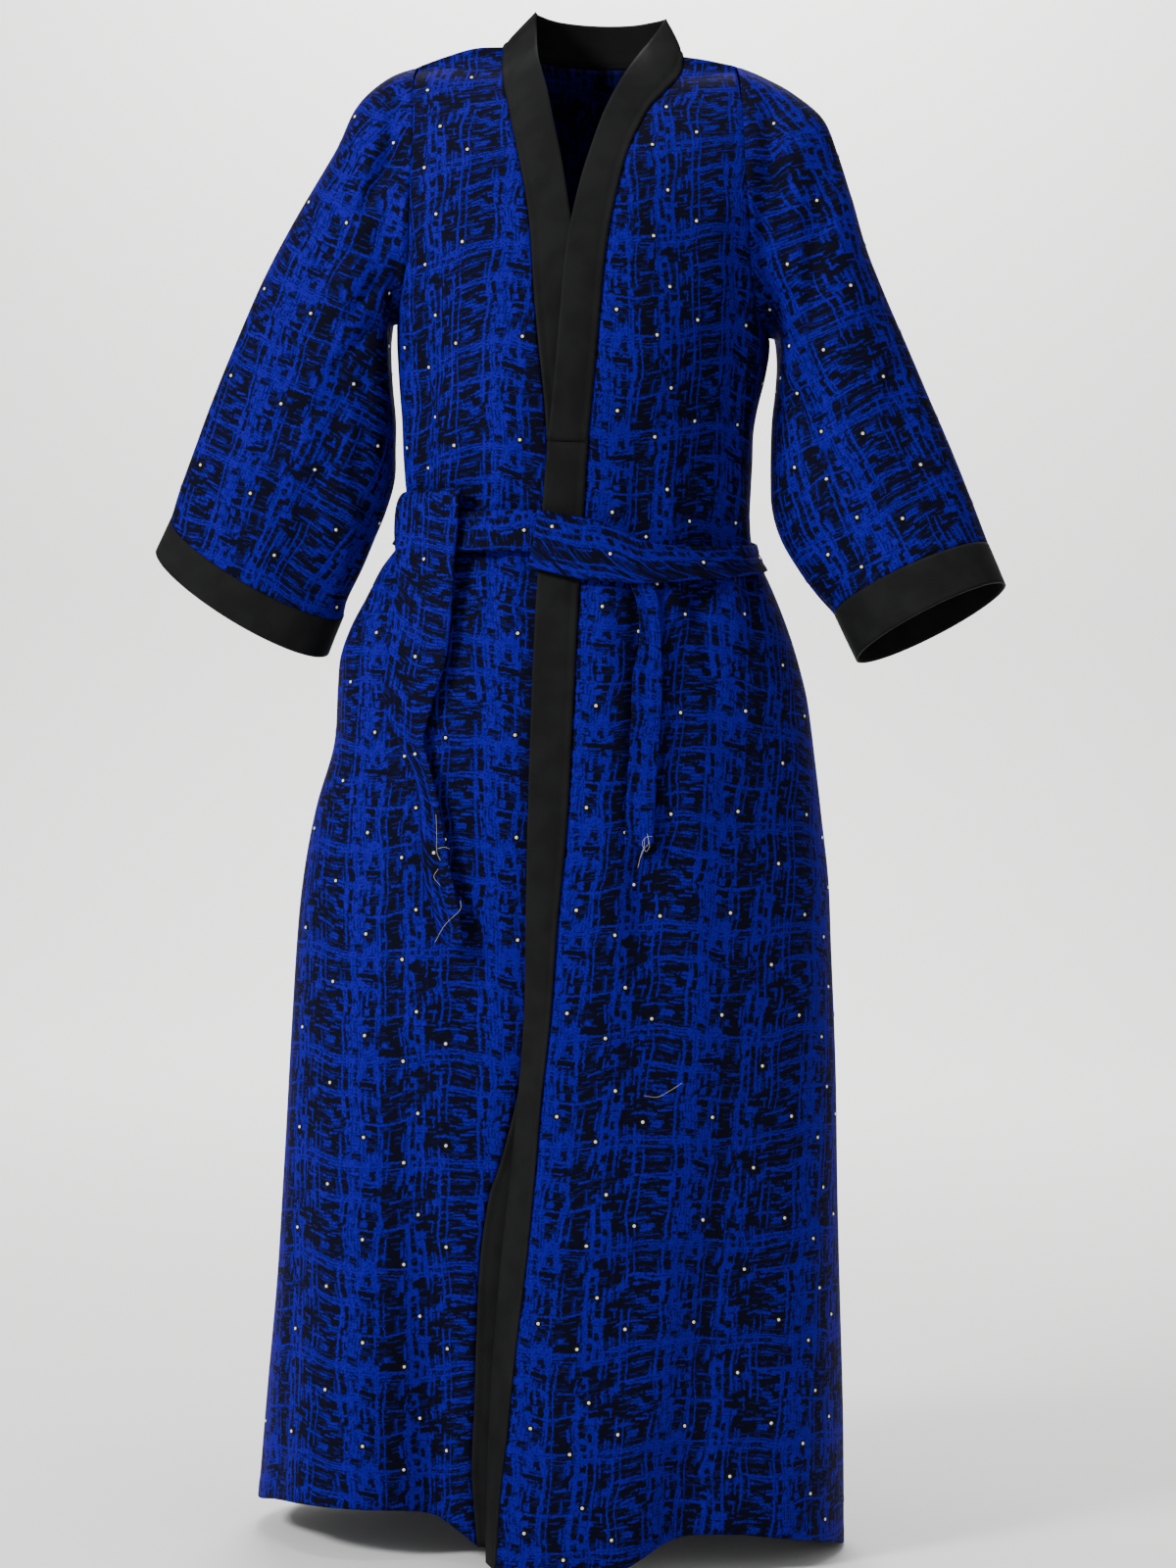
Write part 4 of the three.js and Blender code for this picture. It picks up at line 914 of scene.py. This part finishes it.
# The print, in millimetres of cloth. One repeat is "across" wide and "along" high.
printLook = {
    "across": 122, "along": 87,
    "blue": (0.0110, 0.0, 0.245), "deepBlue": (0.0060, 0.0002, 0.140),
    "thinLine": (0.0050, 0.0040, 0.125), "ground": (0.0022, 0.0024, 0.0095),
    "sway": 5.5, "tremble": 1.4, "wave": 17,    # how far the brushed lines wander and the cloth waves
    "swayScale": 0.020, "trembleScale": 0.36, "waveScale": (0.0075, 0.0022),
    "inkGaps": (0.60, 0.68, 0.7), "uneven": (0.30, 0.52),    # where the brush leaves gaps and paler ink
    "railGaps": (0.42, 0.47), "barShare": 0.95, "fineShare": 0.85,
    "inside": (0.002, 0.003, 0.014), "insideShare": 0.60,
    "weave": 9.0, "weaveDepth": 0.25, "bump": 0.22, "roughness": 0.80, "shine": 0.05,
}
# Kinds of strokes: lines over a repeat, dashes along it, a seed, half width as a share of a line, and the
# share of them that is there. Blocks have columns and rows in place of lines and dashes.
strokeKinds = {
    "blocks": {"lines": 21, "dashes": 13, "seed": 3.1, "cover": 0.42},
    "broad": {"lines": 40, "dashes": 6, "seed": 5.3, "wide": 0.36, "cover": 0.66},
    "bars": {"lines": 20, "dashes": 7, "seed": 12.1, "wide": 0.30, "cover": 0.30, "least": 0.08},
    "fine": {"lines": 42, "dashes": 21, "seed": 9.7, "wide": 0.21, "cover": 0.32},
    "crossed": {"lines": 30, "dashes": 11, "seed": 2.9, "wide": 0.30},
    "longLines": {"lines": 31, "dashes": 2, "seed": 8.3, "wide": 0.25},
}
# Rails run down the ladder stripe beside its dark windows: place across the repeat and half width.
railPlaces = [(0.035, 0.013), (0.095, 0.006), (0.155, 0.010), (0.285, 0.009), (0.340, 0.006), (0.545, 0.009),
              (0.690, 0.007), (0.835, 0.010), (0.885, 0.006)]
# Cover of upright and of cross strokes across one repeat, and of cross lines along it:
# share of the repeat, share of the cloth that is blue.
upCover = [(0, 0.18), (0.04, 0.84), (0.15, 0.80), (0.20, 0.50), (0.25, 0.44), (0.29, 0.10), (0.34, 0.01),
           (0.47, 0.01), (0.52, 0.06), (0.56, 0.66), (0.62, 0.92), (0.72, 0.68), (0.82, 0.86), (0.86, 0.20),
           (0.90, 0.01), (0.96, 0.01), (1, 0.18)]
crossCover = [(0, 0.08), (0.06, 0.14), (0.14, 0.12), (0.24, 0.10), (0.32, 0.14), (0.38, 0.20), (0.46, 0.19),
              (0.52, 0.14), (0.58, 0.12), (0.70, 0.18), (0.80, 0.12), (0.86, 0.10), (0.93, 0.08), (1, 0.08)]
linesAlong = [(0, 0.64), (0.06, 0.72), (0.11, 0.26), (0.18, 0.0), (0.32, 0.0), (0.42, 0.30), (0.50, 0.0),
              (0.62, 0.0), (0.70, 0.48), (0.76, 0.10), (0.88, 0.06), (0.94, 0.42), (1, 0.64)]
# Solid blue areas come and go along the repeat as well, which gives the cloth its loose checks.
checksAlong = [(0, 1.15), (0.10, 1.2), (0.22, 0.65), (0.36, 0.95), (0.48, 0.6), (0.60, 0.9), (0.70, 1.2),
               (0.82, 0.6), (0.92, 1.0), (1, 1.15)]

# White studs, in millimetres: their places in one repeat of their own, how far from the nearest point of
# the cloth a place may lie, how much of a step the stud is moved to it, and how many points off an edge.
studs = {
    "across": 215, "along": 87, "radius": 1.25, "height": 0.8, "ring": 3.1, "around": 12, "reach": 4,
    "nudge": 0.7, "edgePoints": 3,
    "places": [(0, 0), (13, 43), (39, 17), (101, 21), (146, 64), (181, 20)],
}


# How strokes and blocks end, in shares of a line or a dash, and how much the widths of strokes differ.
strokeEnds = {"luck": 0.02, "side": 0.08, "dash": (0.5, 0.44), "blockSide": (0.5, 0.42),
              "blockEnd": (0.48, 0.40), "spread": 0.3}
reliefReach = 0.0004    # metres, how high the weave's relief reads


class Wires:
    # short names for shader nodes: each call adds what it needs and gives back an output
    def __init__(self, name):
        self.material = bpy.data.materials.new(name)
        self.material.use_nodes = True
        self.tree = self.material.node_tree
        self.shader = self.tree.nodes["Principled BSDF"]

    def put(self, socket, value):
        if isinstance(value, bpy.types.NodeSocket):
            self.tree.links.new(value, socket)
        else:
            socket.default_value = value

    def add(self, kind, values, output=0, **settings):
        node = self.tree.nodes.new(kind)
        for key, value in settings.items():
            setattr(node, key, value)
        for key, value in values.items():
            self.put(node.inputs[key], value)
        return node.outputs[output]

    def math(self, operation, a, b=0.0, c=0.0):
        return self.add("ShaderNodeMath", {0: a, 1: b, 2: c}, operation=operation)

    def times(self, a, b):
        return self.math("MULTIPLY", a, b)

    def minus(self, a, b):
        return self.math("SUBTRACT", a, b)

    def most(self, first, *others):
        for other in others:
            first = self.math("MAXIMUM", first, other)
        return first

    def step(self, value, low, high):
        # 0 below low, 1 above high, soft between
        return self.add("ShaderNodeMapRange", {"Value": value, "From Min": low, "From Max": high},
                        interpolation_type="SMOOTHSTEP")

    def parts(self, vector):
        return self.add("ShaderNodeSeparateXYZ", {0: vector}, slice(0, 3))

    def mix(self, share, a, b):
        node = self.tree.nodes.new("ShaderNodeMix")
        node.data_type = "RGBA"
        self.put(node.inputs[0], share)
        self.put(node.inputs[6], (*a, 1) if isinstance(a, tuple) else a)
        self.put(node.inputs[7], (*b, 1) if isinstance(b, tuple) else b)
        return node.outputs[2]

    def chart(self, value, stops):
        # a curve through (place, level) stops
        node = self.tree.nodes.new("ShaderNodeValToRGB")
        marks = node.color_ramp.elements
        marks[0].position, marks[1].position = stops[0][0], stops[-1][0]
        marks[0].color, marks[1].color = ((level, level, level, 1) for _, level in (stops[0], stops[-1]))
        for place, level in stops[1:-1]:
            marks.new(place).color = (level, level, level, 1)
        self.put(node.inputs[0], value)
        return node.outputs[0]

    def noise(self, vector, scale, detail=2.0, output=0):
        values = {"Vector": vector, "Scale": scale, "Detail": detail}
        return self.add("ShaderNodeTexNoise", values, output, noise_dimensions="2D")

    def vector(self, x, y, z=0.0):
        return self.add("ShaderNodeCombineXYZ", {0: x, 1: y, 2: z})

    def hash(self, x, y, seed):
        # an even random number for each pair of whole numbers
        return self.add("ShaderNodeTexWhiteNoise", {"Vector": self.vector(x, y, seed)}, 0)

    def weave(self, u, v, look, under):
        # crossing threads, laid over another relief
        waves = [self.math("SINE", self.times(each, look["weave"])) for each in (u, v)]
        return self.math("MULTIPLY_ADD", self.times(*waves), look["weaveDepth"], under)

    def number(self, value, count):
        # whole number of a line, which starts again after count lines
        lifted = self.math("ADD", self.math("FLOOR", value), count * 40.0)
        return self.math("MODULO", lifted, float(count))

    def offMiddle(self, value):
        return self.math("ABSOLUTE", self.minus(self.math("FRACT", value), 0.5))

    def chosen(self, cover, luck):
        return self.step(self.minus(cover, luck), -strokeEnds["luck"], strokeEnds["luck"])

    def strokes(self, across, along, repeat, cover, kind):
        # dashes side by side: count lines over the repeat, dash pieces over the other way
        count, dash, seed, wide = (strokeKinds[kind][key] for key in ("lines", "dashes", "seed", "wide"))
        line = self.math("DIVIDE", across, repeat[0] / count)
        number = self.number(line, count)
        shift = self.hash(number, 0.0, seed)
        pieceAlong = self.math("ADD", self.math("DIVIDE", along, repeat[1] / dash), self.times(shift, dash))
        piece = self.number(pieceAlong, dash)
        there = self.chosen(cover, self.hash(number, piece, seed + 0.37))
        # distance from the middle of the line, and from both ends of the dash
        spread, side = strokeEnds["spread"], strokeEnds["side"]
        wider = self.times(self.hash(number, piece, seed + 0.71), spread)
        width = self.math("ADD", wider, wide - spread / 2)
        inLine = self.step(self.minus(width, self.offMiddle(line)), -side, side)
        inDash = self.step(self.offMiddle(pieceAlong), *strokeEnds["dash"])
        return self.times(there, self.times(inLine, inDash))

    def patches(self, u, v, repeat, cover):
        # small filled blocks
        countU, countV, seed = (strokeKinds["blocks"][key] for key in ("lines", "dashes", "seed"))
        x = self.math("DIVIDE", u, repeat[0] / countU)
        y = self.math("DIVIDE", v, repeat[1] / countV)
        there = self.chosen(cover, self.hash(self.number(x, countU), self.number(y, countV), seed))
        inSide = self.step(self.offMiddle(x), *strokeEnds["blockSide"])
        inEnd = self.step(self.offMiddle(y), *strokeEnds["blockEnd"])
        return self.times(there, self.times(inSide, inEnd))

    def asCloth(self, colour, look, relief):
        raised = self.add("ShaderNodeBump", {"Strength": look["bump"], "Distance": reliefReach,
                                               "Height": relief})
        values = {"Base Color": colour, "Roughness": look["roughness"], "Specular IOR Level": look["shine"],
                  "Normal": raised}
        for key, value in values.items():
            self.put(self.shader.inputs[key], value)
        return self.material


def printShader(name, inside):
    w = Wires(name)
    repeat = (printLook["across"], printLook["along"])
    turned = repeat[::-1]
    place = w.add("ShaderNodeAttribute", {}, 1, attribute_name="clothPlace")
    u0, v0, _ = w.parts(place)

    # the lines wander: a slow sway, a quick brush-edge tremble and the waves of the cloth
    sway = w.parts(w.noise(place, printLook["swayScale"], 1.0, 1))
    shake = w.parts(w.noise(place, printLook["trembleScale"], 1.5, 1))

    def moved(value, noise, reach):
        return w.math("MULTIPLY_ADD", w.minus(noise, 0.5), printLook[reach] * 2, value)

    u = moved(moved(u0, sway[0], "sway"), shake[0], "tremble")
    v = moved(moved(v0, sway[1], "sway"), shake[1], "tremble")
    waveU, waveV = printLook["waveScale"]
    v = moved(v, w.noise(w.vector(w.times(u0, waveU), w.times(v0, waveV)), 1.0, 0.0), "wave")
    shareU = w.math("FRACT", w.math("DIVIDE", u, repeat[0]))
    shareV = w.math("FRACT", w.math("DIVIDE", v, repeat[1]))
    up = w.times(w.chart(shareU, upCover), w.chart(shareV, checksAlong))

    def cover(kind):
        return w.times(up, strokeKinds[kind]["cover"])

    blocks = w.patches(u, v, repeat, cover("blocks"))
    broad = w.strokes(u, v, repeat, cover("broad"), "broad")
    fine = w.strokes(v, u, turned, strokeKinds["fine"]["cover"], "fine")
    crossed = w.strokes(v, u, turned, w.chart(shareU, crossCover), "crossed")
    longLines = w.strokes(v, u, turned, w.chart(shareV, linesAlong), "longLines")
    rails = w.most(*[w.step(w.math("ABSOLUTE", w.minus(shareU, middle)), half * 1.3, half * 0.8)
                     for middle, half in railPlaces])
    rails = w.times(rails, w.step(sway[2], *printLook["railGaps"]))

    # dark bars: the windows of the ladder and short bars in the wide blue block
    bars = w.strokes(u, v, repeat, w.math("ADD", cover("bars"), strokeKinds["bars"]["least"]), "bars")
    solid = w.times(w.most(blocks, broad, crossed), w.minus(1.0, w.times(bars, printLook["barShare"])))
    gapFrom, gapTo, gapDepth = printLook["inkGaps"]
    gaps = w.times(w.step(shake[2], gapFrom, gapTo), gapDepth)
    solid = w.times(w.most(solid, rails, longLines), w.minus(1.0, gaps))

    # each blue stroke is inked a little unevenly
    blue = w.mix(w.step(shake[2], *printLook["uneven"]), printLook["deepBlue"], printLook["blue"])
    colour = w.mix(w.times(fine, printLook["fineShare"]), printLook["ground"], printLook["thinLine"])
    colour = w.mix(solid, colour, blue)
    if inside:
        # the print shows through weakly on the wrong side
        colour = w.mix(printLook["insideShare"], colour, printLook["inside"])
    return w.asCloth(colour, printLook, w.weave(u0, v0, printLook, shake[2]))


plainLook = {
    "roughness": 0.78, "shine": 0.12, "worn": 1.45, "wornScale": 0.035, "wornFrom": 0.35, "wornTo": 0.65,
    "weave": 7.0, "weaveDepth": 0.3, "fuzzScale": 0.5, "bump": 0.25,
}


def plainShader(name, colour):
    w = Wires(name)
    place = w.add("ShaderNodeAttribute", {}, 1, attribute_name="clothPlace")
    u, v, _ = w.parts(place)
    worn = w.step(w.noise(place, plainLook["wornScale"], 2.0), plainLook["wornFrom"], plainLook["wornTo"])
    relief = w.weave(u, v, plainLook, w.noise(place, plainLook["fuzzScale"], 1.0))
    colour = w.mix(worn, colour, tuple(c * plainLook["worn"] for c in colour))
    return w.asCloth(colour, plainLook, relief)


studLook = {"colour": (0.8, 0.8, 0.78), "light": (0.95, 0.95, 0.93), "grain": 300.0, "roughness": 0.25}
paperLook = {"colour": (0.86, 0.86, 0.85), "grain": 900, "roughness": 0.85, "bump": 0.1}


def studShader(name):
    w = Wires(name)
    grain = w.noise(w.add("ShaderNodeTexCoord", {}, 3), studLook["grain"])
    w.put(w.shader.inputs["Base Color"], w.mix(grain, studLook["colour"], studLook["light"]))
    w.put(w.shader.inputs["Roughness"], studLook["roughness"])
    return w.material


def paperShader(name):
    w = Wires(name)
    grain = w.add("ShaderNodeTexNoise", {"Scale": paperLook["grain"]})
    raised = w.add("ShaderNodeBump", {"Strength": paperLook["bump"], "Height": grain})
    w.put(w.shader.inputs["Base Color"], (*paperLook["colour"], 1))
    w.put(w.shader.inputs["Roughness"], paperLook["roughness"])
    w.put(w.shader.inputs["Normal"], raised)
    return w.material


# Right side and wrong side of each cloth, and a stud's white dome and the dark disc round it.
printLooks = (printShader("printCloth", False), printShader("printClothInside", True))
bandLooks = (plainShader("blackBand", (0.0050, 0.0052, 0.0052)),
             plainShader("blackBandInside", (0.0030, 0.0030, 0.0034)))
studLooks = (studShader("whiteStud"), plainShader("studDarkRing", (0.0022, 0.0022, 0.0030)))

grainLine = {"back": -7, "front_right": -120, "front_left": 105}
# Below this level the fronts' grain leans to the middle, in millimetres for each millimetre down.
leanLevel, grainLean = -600, {"back": 0, "front_right": -0.040, "front_left": 0.060}
thickness = {"cuff": robe["bandThick"], "band": robe["bandThick"], "belt": robe["beltThick"]}
pieces, placesOf = {}, {}
for name, grid in grids.items():
    kind = name.split("_")[0]
    if name in grainLine:
        u, v = acrossFrom(calmed(grid), grainLine[name]), alongGrain(grid, grainLine[name])
        rising = np.sign(grid[0, -1, 0] - grid[0, 0, 0])
        u = u + rising * grainLean[name] * np.maximum(leanLevel - grid[..., 2], 0)
    elif kind == "sleeve":
        u, v = onArm(calmed(grid))
    else:
        u, v = runAlong(grid, 1), runAlong(grid, 0)
        u = u - u[:, u.shape[1] // 2][:, None]
    placesOf[name] = printed(name, u, v)
    looks = bandLooks if kind in ("cuff", "band") else printLooks
    thick = thickness.get(kind, robe["clothThick"])
    obj = sheetMesh(name + "_cloth", grid, placesOf[name], thick, looks, outward(grid, name) < 0)
    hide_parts(name)
    pieces[name] = obj
print("cloth built")


def studSpots(name):
    # where the studs fall on one piece: place and outward direction, in millimetres
    grid, flat = grids[name], placesOf[name]
    n = normalsOf(grid) * outward(grid, name)
    points = flat.reshape(-1, 2)
    size = np.array([studs["across"], studs["along"]])
    low, high = points.min(0) // size, points.max(0) // size
    found = []
    for i in range(int(low[0]) - 1, int(high[0]) + 2):
        for j in range(int(low[1]) - 1, int(high[1]) + 2):
            for spot in (i, j) * size + studs["places"]:
                away = ((points - spot) ** 2).sum(1)
                at = int(away.argmin())
                row, column = divmod(at, flat.shape[1])
                edge = min(row - 1, flat.shape[0] - 2 - row, column, flat.shape[1] - 1 - column)
                if away[at] > studs["reach"] ** 2 or edge < studs["edgePoints"]:
                    continue
                beside, above = ((row, column - 1), (row, column + 1)), ((row - 1, column), (row + 1, column))
                steps = np.array([(flat[b] - flat[a]) / 2 for a, b in (beside, above)])
                ways = np.array([(grid[b] - grid[a]) / 2 for a, b in (beside, above)])
                share = np.linalg.lstsq(steps.T, spot - flat[row, column], rcond=None)[0]
                share = np.clip(share, -studs["nudge"], studs["nudge"])
                found.append((grid[row, column] + share @ ways, n[row, column]))
    return found


def circle(centre, side, up, radius, around):
    angles = [2 * math.pi * k / around for k in range(around)]
    return [tuple((centre + (side * math.cos(a) + up * math.sin(a)) * radius) * mm) for a in angles]


def ringFaces(first, rings, around):
    # the walls between one ring and the next, then both ends
    faces = []
    for r in range(rings - 1):
        for k in range(around):
            a, b = first + r * around + k, first + r * around + (k + 1) % around
            faces.append((a, b, b + around, a + around))
    last = first + (rings - 1) * around
    return faces + [tuple(range(last, last + around)), tuple(range(first + around - 1, first - 1, -1))]


def studMesh(name, spots, lift):
    # each stud is a white dome on a small black disc, which shows as a dark ring on the cloth round it
    disc, dome, around = studs["ring"], studs["radius"], studs["around"]
    shape = [(disc, -0.05), (disc * 0.96, 0.10), (dome + 0.1, 0.12), (dome, 0.45), (dome * 0.72, 0.85),
             (dome * 0.3, studs["height"])]
    verts, faces, kinds = [], [], []
    for place, n in spots:
        side = np.cross(n, (0, 0, 1.0))
        side /= np.linalg.norm(side)
        up = np.cross(side, n)
        faces += ringFaces(len(verts), len(shape), around)
        for radius, out in shape:
            verts += circle(place + n * (out + lift), side, up, radius, around)
        domeWalls = len(shape) - 3
        kinds += [1] * (2 * around) + [0] * (domeWalls * around) + [0, 1]
    obj = shapedObject(name, verts, faces, studLooks)
    obj.data.polygons.foreach_set("material_index", kinds)
    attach(obj, "root")
    return obj


def threadMesh(name, lines, radius, material):
    # loose threads: thin round tubes through the given points, in millimetres
    verts, faces = [], []
    around, finer = 5, 7
    for line in lines:
        share = np.linspace(0, 1, len(line) * finer)
        path = np.stack([alongRows(line, share, k) for k in range(3)], -1)
        way = np.gradient(path, axis=0)
        way /= np.linalg.norm(way, axis=1, keepdims=True)
        faces += ringFaces(len(verts), len(path), around)
        for p, w in zip(path, way):
            side = np.cross(w, (0.3, 1, 0.2))
            side /= np.linalg.norm(side)
            verts += circle(p, side, np.cross(w, side), radius, around)
    obj = shapedObject(name, verts, faces, [material])
    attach(obj, "root")
    return obj


extras = {name: [] for name in pieces}
for name in printStart:
    spots = studSpots(name)
    print(f"{name}: {len(spots)} studs")
    if spots:
        lift = thickness.get(name.split("_")[0], robe["clothThick"]) / 2
        extras[name].append(studMesh(name + "_studs", spots, lift))

# Loose threads: points on the front by x and z, and how far they stand off the body form.
looseThreads = {
    "belt_tail_right": [
        [(-113, -683, 12), (-111.5, -700, 13), (-111, -714, 13), (-108, -722, 12)],
        [(-110.5, -712, 13), (-105, -710.5, 12), (-101, -712, 11)],
        [(-109.5, -729, 12), (-112.5, -736, 13), (-107.5, -743, 12)],
        [(-90.5, -755, 11), (-90.5, -763, 12), (-102, -776, 13), (-110, -791, 12)],
    ],
    "belt_tail_left": [
        [(61, -693, 11), (62, -701, 12), (57, -708, 13), (54, -722, 12)],
        [(65, -695, 11), (60, -696, 12), (57, -701, 12), (60, -708, 13), (63, -703, 12), (61, -695, 12)],
        [(59, -697, 11), (58, -706, 14), (56, -713, 12)],
    ],
    "front_left": [[(67, -914, 3), (78, -915, 4), (88, -910, 4), (99, -903, 3)]],
}
threadMaterial = plainShader("looseThread", (0.36, 0.37, 0.40))
threadRadius = 0.14
for name, lines in looseThreads.items():
    paths = [onBody(*np.array(line, float).T) for line in lines]
    extras[name].append(threadMesh(name + "_threads", paths, threadRadius, threadMaterial))

# Cut of each piece laid flat: width, length and area in metres, and how it is held.
cuts = {
    "back": (0.70, 1.34, 0.68, "draped"), "front_right": (0.29, 1.33, 0.283, "draped"),
    "front_left": (0.40, 1.35, 0.341, "draped"), "sleeve_right": (0.43, 0.47, 0.150, "draped"),
    "sleeve_left": (0.43, 0.51, 0.155, "draped"), "cuff_right": (0.42, 0.035, 0.0142, "draped"),
    "cuff_left": (0.42, 0.042, 0.0171, "draped"), "band_neck": (0.045, 1.04, 0.037, "draped"),
    "band_lower_left": (0.036, 0.96, 0.029, "hung"), "band_lower_right": (0.039, 0.95, 0.0355, "hung"),
    "belt": (0.05, 0.91, 0.0335, "gathered"), "belt_tail_right": (0.08, 0.44, 0.0185, "hung"),
    "belt_tail_left": (0.026, 0.26, 0.0060, "hung"),
}
for name, (width, length, area, held) in cuts.items():
    g = grids[name]
    a, b = g[:-1, 1:] - g[:-1, :-1], g[1:, :-1] - g[:-1, :-1]
    measured = np.linalg.norm(np.cross(a, b), axis=-1).sum() * 1e-6
    print(f"{name}: cut {area:.4f} m2, shaped {measured:.4f} m2")

# Floor and backdrop: a sheet of paper that bends up behind the robe, sizes in metres.
stage = {"front": -7.0, "bendFrom": 4.6, "bendRound": 1.2, "top": 5.0, "half": 8.0, "gap": 0.0015,
         "air": 0.32}
floorZ = cadBox[0][2] - stage["gap"]
start, size = stage["bendFrom"], stage["bendRound"]
bend = [(start + size * math.sin(a), floorZ + size * (1 - math.cos(a)))
        for a in np.linspace(0, math.pi / 2, 13)]
line = [(stage["front"], floorZ)] + bend + [(bend[-1][0], stage["top"])]
verts = [(x, y, z) for y, z in line for x in (-stage["half"], stage["half"])]
faces = [(2 * k, 2 * k + 1, 2 * k + 3, 2 * k + 2) for k in range(len(line) - 1)]
floor = shapedObject("studioFloor", verts, faces, [paperShader("studioPaper")])

# Round soft lights: place, target, size and power.
lights = {
    "keyLight": ((-2.4, -1.9, 1.1), (0, 0, -0.6), 0.8, 130),
    "fillLight": ((2.4, -2.2, 0.2), (0, 0, -0.7), 2.2, 12),
    "topLight": ((0.2, -0.1, 2.3), (0, 0, -0.6), 1.4, 45),
    "backdropLight": ((0, 3.4, 3.6), (0, 5.8, -0.4), 2.6, 520),
}
for name, (place, target, size, power) in lights.items():
    data = bpy.data.lights.new(name, "AREA")
    data.shape = "DISK"
    data.size = size
    data.energy = power
    lamp = bpy.data.objects.new(name, data)
    lamp.location = place
    lamp.rotation_euler = (Vector(target) - Vector(place)).to_track_quat("-Z", "Y").to_euler()
    lamp.visible_camera = False
    bpy.context.scene.collection.objects.link(lamp)
world = bpy.data.worlds.new("studioAir")
world.use_nodes = True
world.node_tree.nodes["Background"].inputs["Color"].default_value = (1, 1, 1, 1)
world.node_tree.nodes["Background"].inputs["Strength"].default_value = stage["air"]
bpy.context.scene.world = world

view = {"place": (0.011375, -2.6, -0.65275), "roll": -2, "lens": 66.857, "sensor": 36}
camera = bpy.data.objects.new("mainCamera", bpy.data.cameras.new("mainCamera"))
camera.data.sensor_fit = "VERTICAL"
camera.data.sensor_height = view["sensor"]
camera.data.lens = view["lens"]
camera.location = view["place"]
camera.rotation_euler = (math.radians(90), math.radians(view["roll"]), 0)
bpy.context.scene.collection.objects.link(camera)
bpy.context.scene.camera = camera
